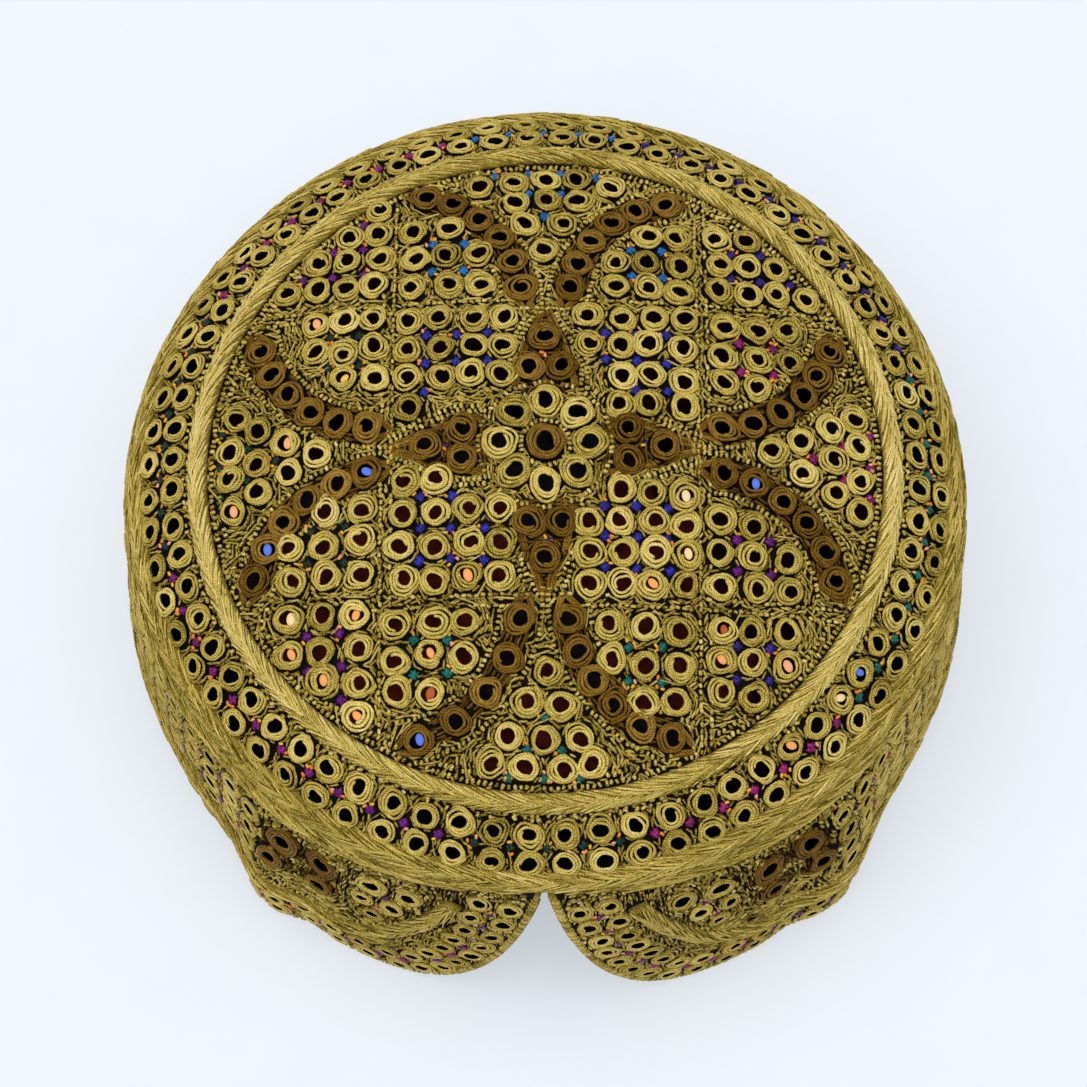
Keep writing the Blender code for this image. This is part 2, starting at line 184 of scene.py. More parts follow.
# Rows of gold rings inside the four corner circles, charted. Each group starts at
# (x0, y0), its rows step by dy and its columns by dx, and counts has the rings in each row.
CIRCLE_GROUPS = table(
    "sx sy x0 dx y0 dy counts silk",
    (-1, 1, 28.0, -6.4, 29.1, -6.6, (4, 4, 4, 1), "royal"),
    (-1, 1, 27.0, -6.6, 38.2, 7.1, (3, 3, 2), "azure"),
    (-1, 1, 35.7, 6.1, 30.5, -7.2, (3, 3, 2), "green"),
    (-1, 1, 35.4, 6.2, 39.0, 6.6, (4, 3, 2, 1), "purple"),
    (1, 1, 28.4, -6.4, 29.2, -6.7, (4, 4, 3, 3), "royal"),
    (1, 1, 27.8, -6.5, 36.9, 6.7, (3, 3, 2), "azure"),
    (1, 1, 36.9, 7.0, 28.5, -6.8, (3, 3, 2), "magenta"),
    (1, 1, 36.0, 6.3, 37.6, 6.8, (4, 3, 2), "indigo"),
    (-1, -1, 28.9, -6.6, 27.8, -6.8, (4, 4, 4, 2), "royal"),
    (-1, -1, 30.1, -6.8, 36.6, 6.8, (3, 3, 2), "teal"),
    (-1, -1, 37.4, 7.2, 26.5, -6.9, (3, 3, 2), "green"),
    (-1, -1, 38.0, 7.0, 34.6, 6.5, (3, 3, 2, 1), "purple"),
    (1, -1, 28.4, -6.5, 29.2, -6.4, (4, 4, 4, 3), "royal"),
    (1, -1, 26.9, -6.8, 38.2, 7.0, (3, 3, 2), "teal"),
    (1, -1, 35.6, 6.9, 28.6, -6.5, (3, 3, 2), "purple"),
    (1, -1, 35.6, 6.7, 37.2, 6.5, (3, 3, 2), "indigo"))
# The four wedges between the circles: rows of rings at growing distances from the centre
WEDGES = table("deg rows silk", (0.0, (1, 2, 3, 4), "teal"), (90.0, (1, 2, 3, 4), "magenta"),
               (180.0, (1, 2, 3, 5), "azure"), (270.0, (1, 2, 3, 4), "green"))
WEDGE_ROWS_R = (46.4, 53.1, 59.6, 65.2)
WEDGE_STEP = 6.9
# Brown arcs on each circle: the number of rings, and how far the arc is stretched
ARCS = table(
    "corner sx sy kind rings reach",
    ("front_right", 1, -1, "x", 6, 1.0), ("front_right", 1, -1, "y", 6, 1.0),
    ("back_right", 1, 1, "x", 6, 1.0), ("back_right", 1, 1, "y", 6, 1.0),
    ("back_left", -1, 1, "x", 6, 1.065), ("back_left", -1, 1, "y", 6, 1.0),
    ("front_left", -1, -1, "x", 5, 1.0), ("front_left", -1, -1, "y", 6, 1.0))
ARC_SPAN = (8.0, 75.0)

# Painted reflections: mirrors that get a flat patch of bright colour, by its colour and their
# places on the plan
GLINTS = {
    "peach": ((-51.8, 31.0), (-46.1, 30.5), (-57.1, 10.0), (-51.8, 4.9), (-63.4, -12.1),
              (48.6, -42.5)),
    "amber": ((-41.8, 16.6),),
    "cream": ((-52.5, -34.0), (28.4, -10.5), (28.4, -22.8), (59.8, -48.2)),
    "orange": ((-38.0, -34.7), (-50.4, -42.0), (-44.1, -48.0), (-38.2, -53.6), (-23.2, -43.6),
               (-15.2, -28.0), (21.1, -29.7), (35.6, -44.5), (49.5, -59.0)),
    "rust": ((-23.9, -49.6), (35.7, -37.8)),
    "blue": ((-37.2, -3.7), (-57.4, -18.5), (-26.3, -58.8), (42.1, -8.8), (63.7, -42.9)),
}
GLINT_TONES = {"peach": (0.88, 0.40, 0.19), "amber": (0.90, 0.50, 0.10),
               "cream": (0.95, 0.66, 0.34), "orange": (0.90, 0.37, 0.12),
               "rust": (0.42, 0.10, 0.03), "blue": (0.11, 0.20, 0.78)}
SILKS = {"royal": (0.018, 0.016, 0.30), "azure": (0.004, 0.13, 0.42),
         "indigo": (0.022, 0.008, 0.18), "purple": (0.120, 0.003, 0.17),
         "magenta": (0.25, 0.003, 0.13), "plum": (0.19, 0.003, 0.15),
         "green": (0.001, 0.022, 0.013), "teal": (0.001, 0.12, 0.10),
         "orange": (0.80, 0.24, 0.012), "yellow": (0.85, 0.42, 0.02),
         "pink": (0.85, 0.36, 0.20)}
PETAL_KNOTS = ("yellow", "indigo", "yellow", "indigo", "pink", "orange", "indigo", "orange")
# Silk of the stars on the shoulder band, up to each plan angle
SHOULDER_SILKS = ((-165.0, "azure"), (-120.0, "magenta"), (-75.0, "green"), (-32.0, "plum"),
                  (-14.0, "purple"), (14.0, "green"), (52.0, "magenta"), (110.0, "teal"),
                  (165.0, "indigo"), (181.0, "azure"))

# Shoulder band: two rows of rings in register
SHOULDER_COLUMNS = 68
SHOULDER_FIRST = 2.9
SHOULDER_SLOPES = (31.3, 45.3)
SHOULDER_RING_R = 3.05
SHOULDER_PLAN_R = 80.0
# Slopes of its knots and teeth, of its ground, and where the ground begins sparsely
KNOT_SLOPES = (23.3, 25.4)
TEETH_SLOPE = 52.6
GROUND_SLOPES = (22.0, 54.5)
SPARSE_SLOPE = 26.6
SPARSE_SHARE = 0.45

# Wall: rings beside the arch on each side of the front, then rows that run round the cap
ARCH_GOLD = table("deg z size", (18.2, 48.8, 3.3), (23.4, 48.4, 3.5), (20.4, 41.2, 2.9),
                  (24.6, 41.0, 2.6), (23.0, 34.6, 2.5))
ARCH_BROWN = table("deg z size", (30.6, 46.4, 3.8), (36.8, 47.0, 3.8), (31.0, 35.6, 3.3),
                   (38.4, 37.0, 3.3))
ARCH_STARS = table("deg z silk", (21.2, 45.0, "purple"), (22.6, 37.6, "magenta"))
WALL_FIRST = 42.6
WALL_COLUMNS = 62
WALL_ROWS_Z = (48.4, 41.2, 34.0, 26.8)
WALL_RING_R = 3.2
HEM_OFFSETS = (4.4, 10.6)
HEM_STEP = 6.7
HEM_RING_R = 2.80
# Short stitches side by side along the wall's braids
WALL_TEETH = table("z length", (53.7, 2.1), (21.6, 1.5), (14.4, 1.5))
# Its ground is finer near the front, bold low on the lobes, and knotty high at the sides
WALL_GROUND = table("step first last", (1.04, 0.0, 62.0), (1.30, 62.0, 180.0))
WALL_FRONT_DEG = 62.0
BOLD_S = (34.0, 96.0)
BOLD_Z = 34.0
BOLD_SHARE = 0.62
KNOTTY_S = 56.0
KNOTTY_Z = 36.0

# Materials: the slot that each look fills, and the colours that the threads run through
GOLD_STOPS = ((0.05, (0.070, 0.040, 0.004)), (0.98, (1.00, 0.84, 0.41)),
              (0.32, (0.37, 0.265, 0.040)), (0.60, (0.73, 0.56, 0.138)))
GOLD_SHEEN = (0.92, 0.72, 0.28, 1.0)
BROWN_STOPS = ((0.05, (0.028, 0.011, 0.001)), (0.98, (0.56, 0.345, 0.080)),
               (0.32, (0.135, 0.066, 0.008)), (0.60, (0.285, 0.155, 0.024)))
BROWN_SHEEN = (0.66, 0.41, 0.12, 1.0)
CLOTH_STOPS = ((0.20, (0.0015, 0.0010, 0.0007)), (0.85, (0.014, 0.009, 0.004)),
               (0.50, (0.0045, 0.0028, 0.0015)))
# How much the cloth's inner face is lightened: painted light inside the cap, where little light
# reaches
INNER_PAINTED_LIGHT = 6.0
WEAVE_M = 0.0009
TWIST_MM = 0.62
FLOOR_STOPS = ((0.30, (0.360, 0.378, 0.405)), (0.70, (0.370, 0.388, 0.416)))
# The floor glows: painted light that fills the shadows under and beside the cap and lights the
# lower wall
FLOOR_GLOW = (0.88, 0.93, 1.0, 1.0)
FLOOR_GLOW_STRENGTH = 0.53
FLOOR_HALF = 3000.0
MAROON_GLASS = ((0.0030, 0.0006, 0.0004), (0.0130, 0.0018, 0.0011))
BLACK_GLASS = ((0.0005, 0.0005, 0.0006), (0.0020, 0.0016, 0.0018))
ROSETTE_GLASS = ((0.0005, 0.0005, 0.0006), (0.0020, 0.0016, 0.0016))

# Light: a pale sky all round and one soft lamp overhead
SKY_COLOUR = (0.93, 0.965, 1.0, 1.0)
SKY_STRENGTH = 0.46
LAMP_ENERGY = 2.30
LAMP_SPREAD = 66.0
LAMP_COLOUR = (1.0, 0.995, 0.985)
LAMP_AT = Vector((-0.12, -0.10, 1.2))
LAMP_AIM = Vector((0.0, 0.0, 0.05))

# Camera, from the photograph's viewing angle
VIEW_ELEVATION = 69.5
CAMERA_DISTANCE = 0.800
CAMERA_AIM_Z = 0.072
CAMERA_SHIFT_RIGHT = -0.00035
CAMERA_SHIFT_UP = -0.0152
FOCAL_PIXELS = 3840.0
FRAME_PIXELS = 1087.0
SENSOR_MM = 36.0

looks = {}


# Small tools

def unit(v):
    return v / np.linalg.norm(v, axis=-1, keepdims=True)


def dot(a, b):
    return np.sum(a * b, axis=-1, keepdims=True)


def spots(at, out, towards):
    """Places on a surface, each with directions east, north and out."""
    east = unit(towards - out * dot(towards, out))
    return {"at": at, "east": east, "north": np.cross(out, east), "out": out}


def pick(places, keep):
    return {key: value[keep] for key, value in places.items()}


def lay(places, u, v, h):
    """Points at local offsets (u, v, h) from each place; the offsets are (place, point)."""
    return (places["at"][:, None] + places["east"][:, None] * u[..., None]
            + places["north"][:, None] * v[..., None]
            + places["out"][:, None] * h[..., None])


def shifted(places, angle, length):
    """The same places, moved over the surface at an angle from east."""
    aside = lay(places, (np.cos(angle) * length)[:, None], (np.sin(angle) * length)[:, None],
                np.zeros((len(angle), 1)))
    return {**places, "at": aside[:, 0]}


def circle(a, r):
    """Points on the plan at angles from the front, as (x, y)."""
    return np.stack([r * np.sin(a), -r * np.cos(a)], -1)


def drawn(value, number):
    """One value for each thread. A pair is drawn between its two values."""
    if isinstance(value, tuple):
        return rng.uniform(*value, number)
    return np.broadcast_to(value, number)


def tints(number, middle, spread, least=0.0):
    return np.clip(rng.normal(middle, spread, number), least, 1.0)


# Surfaces

def crown_places(x, y):
    x = np.asarray(x, float)
    y = np.asarray(y, float)
    r = np.maximum(np.hypot(x, y), 1e-6)
    z = CROWN_EDGE_Z + CROWN_RISE * (1.0 - (r / CROWN_R) ** CROWN_POWER)
    fall = CROWN_RISE * CROWN_POWER / CROWN_R * (r / CROWN_R) ** (CROWN_POWER - 1.0)
    out = unit(np.stack([x / r * fall, y / r * fall, np.ones_like(r)], -1))
    return spots(np.stack([x, y, z], -1), out, np.array([1.0, 0.0, 0.0]))


def round_places(deg, r, z, slope_deg):
    """Places on a surface turned about the cap's axis."""
    a = np.radians(deg)
    slope = np.radians(slope_deg)
    at = np.stack([r * np.sin(a), -r * np.cos(a), z + 0.0 * a], -1)
    out = np.stack([np.sin(slope) * np.sin(a), -np.sin(slope) * np.cos(a),
                    np.cos(slope) + 0.0 * a], -1)
    return spots(at, out, np.stack([np.cos(a), np.sin(a), 0.0 * a], -1))


def band_profile(slope_deg, inward=0.0):
    first = math.radians(BAND_SLOPES[0])
    centre_r = BAND_START_R - BAND_ARC_R * math.sin(first)
    centre_z = BAND_START_Z - BAND_ARC_R * math.cos(first)
    slope = np.radians(slope_deg)
    reach = BAND_ARC_R - inward
    return centre_r + reach * np.sin(slope), centre_z + reach * np.cos(slope)


def band_places(deg, slope_deg):
    r, z = band_profile(slope_deg)
    return round_places(deg, r, z, slope_deg)


def signed(deg):
    return (np.asarray(deg, float) + 180.0) % 360.0 - 180.0


def rim_radius(deg):
    deg = signed(deg)
    away = np.abs(deg)
    total = np.full_like(away, WALL_RIM_R)
    for form in FRONT_FORM:
        share = np.clip((form["end"] - away) / form["fade"], 0.0, 1.0)
        shape = form["flare"] * share * share * (3.0 - 2.0 * share)
        shape += form["bulge"] * np.exp(-((away - form["bulge_at"]) / form["bulge_width"]) ** 2)
        shape -= form["dent"] * np.exp(-((away - form["dent_at"]) / form["dent_width"]) ** 2)
        total += np.where(deg * form["side"] >= 0.0, shape, 0.0)
    return total


def wall_points(deg, z, out=0.0):
    a = np.radians(deg)
    drop = np.clip((WALL_TOP_Z - z) / WALL_TOP_Z, 0.0, 1.0)
    r = WALL_TOP_R + (rim_radius(deg) - WALL_TOP_R) * (1.0 - (1.0 - drop) ** WALL_CURVE) + out
    return np.stack([r * np.sin(a), -r * np.cos(a), z + 0.0 * a], -1)


def wall_places(deg, z):
    deg = np.asarray(deg, float)
    z = np.asarray(z, float) + 0.0 * deg
    along = wall_points(deg + 0.5, z) - wall_points(deg - 0.5, z)
    up = wall_points(deg, z + 0.5) - wall_points(deg, z - 0.5)
    return spots(wall_points(deg, z), unit(np.cross(along, up)), unit(along))


def degrees_along(s):
    return np.degrees(np.asarray(s, float) / WALL_ARC_R)


def length_along(deg):
    return np.radians(np.abs(signed(deg))) * WALL_ARC_R


def cord_height(s):
    """Height of the rim cord's middle at a distance s from the front, along the wall."""
    low = CORD_H / 2.0
    share = np.clip((np.asarray(s, float) - NOTCH_TOP_S) / NOTCH_REACH, 0.0, 1.0)
    return low + (NOTCH_TOP_Z - low) * (1.0 - share) ** NOTCH_POWER


def arch_height(s):
    share = np.clip((np.asarray(s, float) - ARCH_ORIGIN_S) / ARCH_REACH, 0.0, 1.0)
    fall = 1.0 - (1.0 - share) ** ARCH_POWER
    return ARCH_ORIGIN_Z + (ARCH_LOW_Z - ARCH_ORIGIN_Z) * fall


def hem_line(offset, step):
    """Points at an even step along the right half of the rim and the notch, moved into
    the wall by offset, as (s, z)."""
    s = np.concatenate([NOTCH_TOP_S + np.linspace(0.0, 1.0, 400) ** 1.4 * NOTCH_REACH,
                        np.linspace(NOTCH_TOP_S + NOTCH_REACH, math.pi * WALL_ARC_R, 400)[1:]])
    z = cord_height(s)
    ds = np.gradient(s)
    dz = np.gradient(z)
    size = np.hypot(ds, dz)
    s2 = s - offset * dz / size
    z2 = z + offset * ds / size
    run = np.concatenate([[0.0], np.cumsum(np.hypot(np.diff(s2), np.diff(z2)))])
    count = int(run[-1] / step + 1.0)
    marks = np.arange(count) * run[-1] / (count - 0.5)
    return np.interp(marks, run, s2), np.interp(marks, run, z2)


# Meshes

def new_mesh_object(name, verts, quads, tris):
    """A mesh object from points in millimetres, four-sided and three-sided faces."""
    mesh = bpy.data.meshes.new(name)
    mesh.vertices.add(len(verts))
    mesh.vertices.foreach_set("co", (verts * MM).astype(np.float32).ravel())
    quads = np.asarray(quads, np.int32).reshape(-1, 4)
    tris = np.asarray(tris, np.int32).reshape(-1, 3)
    corners = np.concatenate([quads.ravel(), tris.ravel()])
    mesh.loops.add(len(corners))
    mesh.loops.foreach_set("vertex_index", corners)
    starts = np.concatenate([np.arange(len(quads)) * 4,
                             len(quads) * 4 + np.arange(len(tris)) * 3])
    mesh.polygons.add(len(starts))
    mesh.polygons.foreach_set("loop_start", starts.astype(np.int32))
    mesh.update(calc_edges=True)
    mesh.shade_smooth()
    obj = bpy.data.objects.new(name, mesh)
    bpy.context.scene.collection.objects.link(obj)
    return obj


def set_attribute(obj, name, kind, values):
    attribute = obj.data.attributes.new(name, kind, "POINT")
    field = {"FLOAT": "value", "FLOAT_VECTOR": "vector", "FLOAT_COLOR": "color"}[kind]
    attribute.data.foreach_set(field, np.asarray(values, np.float32).ravel())


def finish_piece(obj, look, replaced=()):
    obj.data.materials.append(looks[look])
    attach(obj, "root")
    if replaced:
        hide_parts(*replaced)


class Threads:
    """Gathers tubes of thread and turns them into one piece.

    Each point keeps where it is along and around its thread in millimetres and turns,
    and its thread's own tint, which the materials read."""

    def __init__(self):
        self.verts = []
        self.quads = []
        self.tris = []
        self.thread = []
        self.tint = []
        self.silk = []
        self.count = 0

    def add(self, paths, out, half_width, half_height, sides, tint, silk=None):
        """paths is (thread, station, 3), out the directions away from the cloth, and the
        half sizes are (thread, station). Both ends run to a point."""
        number, stations = paths.shape[:2]
        out = np.broadcast_to(out, paths.shape)
        along = unit(np.gradient(paths, axis=1))
        side = unit(np.cross(along, out))
        up = np.cross(side, along)
        step = np.linalg.norm(np.diff(paths, axis=1), axis=-1)
        run = np.concatenate([np.zeros((number, 1)), np.cumsum(step, axis=1)], axis=1)
        wide = np.broadcast_to(half_width, (number, stations))[:, 1:-1, None, None]
        high = np.broadcast_to(half_height, (number, stations))[:, 1:-1, None, None]
        first_corner = 0.75 if sides == 3 else 0.5
        angle = (np.arange(sides) + first_corner) / sides * TAU
        ring = (paths[:, 1:-1, None]
                + side[:, 1:-1, None] * wide * np.cos(angle)[:, None]
                + up[:, 1:-1, None] * high * np.sin(angle)[:, None])
        inner = stations - 2
        size = inner * sides + 2
        block = np.concatenate([paths[:, :1], ring.reshape(number, inner * sides, 3),
                                paths[:, -1:]], axis=1)
        turn = np.broadcast_to(np.arange(sides) / sides, (number, inner, sides))
        length = np.broadcast_to(run[:, 1:-1, None], (number, inner, sides))
        marks = np.zeros((number, size, 3))
        marks[:, 1:-1, 0] = length.reshape(number, -1)
        marks[:, 1:-1, 1] = turn.reshape(number, -1)
        marks[:, -1, 0] = run[:, -1]
        tint = np.asarray(tint, float)
        if tint.ndim == 2:
            body = np.repeat(tint[:, 1:-1], sides, axis=1)
            shade = np.concatenate([tint[:, :1], body, tint[:, -1:]], axis=1).ravel()
        else:
            shade = np.repeat(np.broadcast_to(tint, number), size)
        if silk is not None:
            self.silk.append(np.repeat(silk, size, axis=0))
        j = np.arange(sides)
        n = (j + 1) % sides
        k = np.arange(inner - 1)[:, None] * sides + 1
        quads = np.stack([k + j, k + sides + j, k + sides + n, k + n], -1).reshape(-1, 4)
        end = 1 + (inner - 1) * sides
        tips = np.concatenate([np.stack([0 * j, 1 + j, 1 + n], -1),
                               np.stack([0 * j + size - 1, end + n, end + j], -1)])
        base = np.arange(number)[:, None, None] * size
        self.gather(block.reshape(-1, 3), quads[None] + base, tips[None] + base,
                    marks.reshape(-1, 3), shade)

    def gather(self, verts, quads, tris, thread, tint):
        self.verts.append(verts)
        self.quads.append(np.asarray(quads, np.int64).reshape(-1, 4) + self.count)
        self.tris.append(np.asarray(tris, np.int64).reshape(-1, 3) + self.count)
        self.thread.append(thread)
        self.tint.append(tint)
        self.count += len(verts)

    def make(self, name, look, replaced=()):
        obj = new_mesh_object(name, np.concatenate(self.verts), np.concatenate(self.quads),
                              np.concatenate(self.tris))
        set_attribute(obj, "thread", "FLOAT_VECTOR", np.concatenate(self.thread))
        set_attribute(obj, "tint", "FLOAT", np.concatenate(self.tint))
        if self.silk:
            set_attribute(obj, "silk", "FLOAT_COLOR", np.concatenate(self.silk))
        finish_piece(obj, look, replaced)


# Stitches

def add_stitches(threads, places, turn, length, half_width, half_height, lift, sides=4,
                 tint=None, silk=None):
    """Short stitches, one at each place, turned from east by turn (radians). A size may be
    a pair to draw between, and tint the middle and spread of a draw."""
    number = len(turn)
    t = np.array([0.0, 0.22, 0.78, 1.0])
    reach = (t[None] - 0.5) * drawn(length, number)[:, None]
    wide = np.repeat(drawn(half_width, number)[:, None], len(t), axis=1)
    high = np.repeat(drawn(half_height, number)[:, None], len(t), axis=1)
    arch = 4.0 * t * (1.0 - t)
    height = drawn(lift, number)[:, None] * (0.25 + 0.75 * arch[None])
    paths = lay(places, reach * np.cos(turn)[:, None], reach * np.sin(turn)[:, None], height)
    if tint is None:
        tint = rng.uniform(0.15, 1.0, number)
    elif isinstance(tint, tuple):
        tint = tints(number, *tint)
    threads.add(paths, places["out"][:, None], wide, high, sides, tint, silk)


def add_rings(threads, places, size, hole, style):
    """A thread wound in a flat coil round each mirror, uneven and drawn out to corners."""
    form = RING_STYLES[style]
    turns = form["turns"]
    number = len(size)
    count = int(turns * form["segments"]) + 1
    t = np.linspace(0.0, 1.0, count)[None]
    phase = rng.uniform(0.0, TAU, (number, 1))
    handed = rng.choice([-1.0, 1.0], (number, 1))
    theta = phase + handed * TAU * turns * t
    pull = rng.uniform(0.0, TAU, (number, 7))
    amount = rng.uniform(0.3, 1.0, (number, 7))

    def uneven(first, waves):
        total = 1.0
        for i, (share, lobes) in enumerate(waves):
            k = slice(first + i, first + i + 1)
            total = total + share * amount[:, k] * np.cos(lobes * theta + pull[:, k])
        return total

    inner = hole[:, None] * uneven(0, ((0.20, 2.0), (0.08, 3.0)))
    outer = size[:, None] * uneven(2, ((0.065, 2.0), (0.050, 3.0), (0.038, 4.0), (0.026, 6.0)))
    corner = np.clip(rng.normal(0.05, 0.07, (number, 2)), 0.0, 0.16)
    facing = rng.uniform(0.0, TAU, (number, 2))
    for k in range(2):
        near = np.exp(10.0 * (np.cos(theta - facing[:, k:k + 1]) - 1.0))
        outer = outer * (1.0 + corner[:, k:k + 1] * near)
    half = (size - hole)[:, None] / (2.0 * turns) * 1.04
    drift = np.cumsum(rng.normal(0.0, 0.026, (number, count)), axis=1)
    drift -= drift.mean(axis=1, keepdims=True)
    share = np.clip((turns * t - 0.35) / (turns - 0.9), 0.0, 1.0)
    r = inner + half + (outer - half - inner - half) * share + drift
    aside = 0.24 * amount[:, 6:7] * (1.0 - share)
    height = form["bed"] + form["rise"] * np.sin(np.pi * (0.30 + 0.52 * share)) * 0.62
    height = height + rng.normal(0.0, 0.035, (number, count))
    u = r * np.cos(theta) + aside * np.cos(pull[:, 6:7])
    v = r * np.sin(theta) * (1.0 + form["oval"]) + aside * np.sin(pull[:, 6:7])
    wide = np.repeat(half, count, axis=1) * (1.0 + rng.normal(0.0, 0.09, (number, count)))
    tint = rng.normal(0.62, 0.15, (number, 1)) + 0.22 * (0.5 - share)
    threads.add(lay(places, u, v, height), places["out"][:, None], wide, wide * 0.95,
                form["sides"], np.clip(tint, 0.05, 1.0))


def silk_colours(names):
    return np.array([SILKS[name] + (1.0,) for name in names])


def add_stars(stars, places, silk_names, share):
    """Crossed silk stitches in the gaps between rings, and a few bright knots beside them."""
    number = len(silk_names)
    colours = silk_colours(silk_names)
    base = rng.uniform(-0.3, 0.3, number) + math.pi / 4.0
    for turn, aside, height in ((0.0, -0.42, 0.35), (0.0, 0.42, 0.35), (QUARTER, -0.40, 0.60),
                                (QUARTER, 0.40, 0.60), (0.0, 0.0, 0.80)):
        a = base + turn + rng.uniform(-0.2, 0.2, number)
        across = aside + rng.uniform(-0.12, 0.12, number)
        moved = shifted(places, a + QUARTER, across)
        shade = colours.copy()
        shade[:, :3] *= rng.uniform(0.55, 1.35, (number, 1))
        length = 1.75 * rng.uniform(1.15, 1.6, number)
        add_stitches(stars, moved, a, length, 0.40, 0.26, height,
                     tint=rng.uniform(0.0, 1.0, number), silk=shade)
    often = np.array([name in ("green", "teal", "plum") for name in silk_names])
    for _ in range(3):
        chosen = rng.uniform(0.0, 1.0, number) < share + 0.3 * often
        names = rng.choice(["orange", "yellow", "pink"], number, p=[0.5, 0.35, 0.15])
        moved = shifted(places, rng.uniform(0.0, TAU, number), 1.35)
        add_stitches(stars, pick(moved, chosen), rng.uniform(0.0, TAU, number)[chosen],
                     silk=silk_colours(names)[chosen], **STITCHES["bright_knot"])


# Mirrors

def make_mirrors(name, places, radius, tones, look, sides=12):
    """Thin glass discs. tones has each one's painted reflection colour, or None for a dark one."""
    number = len(radius)
    a = np.arange(sides) / sides * TAU
    flat_u = np.concatenate([np.cos(a), 0.93 * np.cos(a), [0.0, 0.0]])
    flat_v = np.concatenate([np.sin(a), 0.93 * np.sin(a), [0.0, 0.0]])
    thick = np.concatenate([np.full(sides, 0.25), np.full(sides, 0.86), [0.25, 0.88]])
    tilt = rng.normal(0.0, 0.03, (number, 2))
    u = radius[:, None] * flat_u[None]
    v = radius[:, None] * flat_v[None]
    block = lay(places, u, v, thick[None] + tilt[:, :1] * u + tilt[:, 1:] * v)
    size = 2 * sides + 2
    j = np.arange(sides)
    n = (j + 1) % sides
    quads = np.stack([j, n, sides + n, sides + j], -1)
    tris = np.concatenate([np.stack([n, j, 0 * j + 2 * sides], -1),
                           np.stack([sides + j, sides + n, 0 * j + 2 * sides + 1], -1)])
    base = np.arange(number)[:, None, None] * size
    obj = new_mesh_object(name, block.reshape(-1, 3), quads + base, tris + base)
    obj.data.set_sharp_from_angle(angle=math.radians(35.0))
    # Each painted reflection is a slanted oval of flat colour, shifted off the mirror's middle
    slant = rng.normal(1.9, 0.45, (number, 1))
    shift = rng.uniform(0.06, 0.24, (number, 1))
    along = flat_u[None] * np.cos(slant) + flat_v[None] * np.sin(slant)
    across = flat_v[None] * np.cos(slant) - flat_u[None] * np.sin(slant)
    spot = np.stack([along / 0.68, (across + shift) / 0.46, np.zeros((number, size))], -1)
    # The painted reflection's colour for each mirror, with its share in alpha
    glass = np.zeros((number, size, 4))
    for i, tone in enumerate(tones):
        if tone:
            glass[i] = GLINT_TONES[tone] + (1.0,)
    set_attribute(obj, "spot", "FLOAT_VECTOR", spot)
    set_attribute(obj, "glass", "FLOAT_COLOR", glass)
    finish_piece(obj, look)


def glint_tones(points, limit):
    """The colour of the painted reflection on each mirror, or None."""
    tones = [None] * len(points)
    for tone, places in GLINTS.items():
        for x, y in places:
            d = np.hypot(points[:, 0] - x, points[:, 1] - y)
            if d.min() < limit:
                tones[int(d.argmin())] = tone
    return tones


# Braids

def braid_path(places, width, height, closed):
    """A braid's line with its directions, ready to be read at any length along it."""
    at = places["at"]
    out = places["out"]
    if closed:
        at = np.concatenate([at, at[:1]])
        out = np.concatenate([out, out[:1]])
    step = np.linalg.norm(np.diff(at, axis=0), axis=1)
    along = np.gradient(at, axis=0)
    if closed:
        along[0] = along[-1] = at[1] - at[-2]
    count = len(at)
    return {"run": np.concatenate([[0.0], np.cumsum(step)]), "at": at, "out": out,
            "across": unit(np.cross(out, unit(along))), "closed": closed,
            "width": np.broadcast_to(width, count), "height": np.broadcast_to(height, count)}


def read_path(path, key, s):
    if path["closed"]:
        s = s % path["run"][-1]
    values = path[key]
    if values.ndim == 1:
        return np.interp(s, path["run"], values)
    return np.stack([np.interp(s, path["run"], values[:, i]) for i in range(3)], -1)


def on_braid(path, s, a, lift):
    """Points at a share a of the braid's width and a share of its height."""
    width = read_path(path, "width", s)[..., None]
    height = read_path(path, "height", s)[..., None]
    return (read_path(path, "at", s) + read_path(path, "across", s) * a[..., None] * width
            + read_path(path, "out", s) * lift[..., None] * height)


def add_braid(threads, path, rows, spacing, half_width, tone, dip=0.0):
    """Satin stitches laid side by side. Each row runs from one share of the width to
    another while it moves forward by a length. The last argument paints shade on the front and the
    back."""
    t = np.array([0.0, 0.16, 0.5, 0.84, 1.0])
    length = path["run"][-1]
    for row in rows:
        last = length - (0.0 if path["closed"] else row["ahead"])
        starts = np.arange(0.0, last, spacing * row["every"])
        number = len(starts)
        starts = starts + rng.uniform(-0.25, 0.25, number)
        s = starts[:, None] + row["ahead"] * rng.uniform(0.82, 1.15, (number, 1)) * t[None]
        if not path["closed"]:
            s = np.clip(s, 0.0, length)
        a = row["from"] + (row["to"] - row["from"]) * t[None]
        a = a + rng.uniform(-0.08, 0.08, (number, 1)) * (1.0 - 0.6 * t[None])
        lift = row["lift"] * np.sqrt(np.clip(1.0 - (1.85 * a) ** 2, 0.02, 1.0))
        lift = lift + rng.uniform(-0.16, 0.12, (number, 1))
        lift[:, [0, -1]] -= 0.30
        wide = half_width * rng.uniform(0.7, 1.2, (number, 1)) * np.ones((1, len(t)))
        # Painted shade: the tint is darker towards the front and the back of the braid
        middle = tone - dip * np.cos(starts / length * TAU) ** 2
        tint = np.clip(rng.normal(middle, 0.24, number), 0.05, 1.2)
        threads.add(on_braid(path, s, a, lift), read_path(path, "out", s), wide, wide * 0.8, 4,
                    tint)


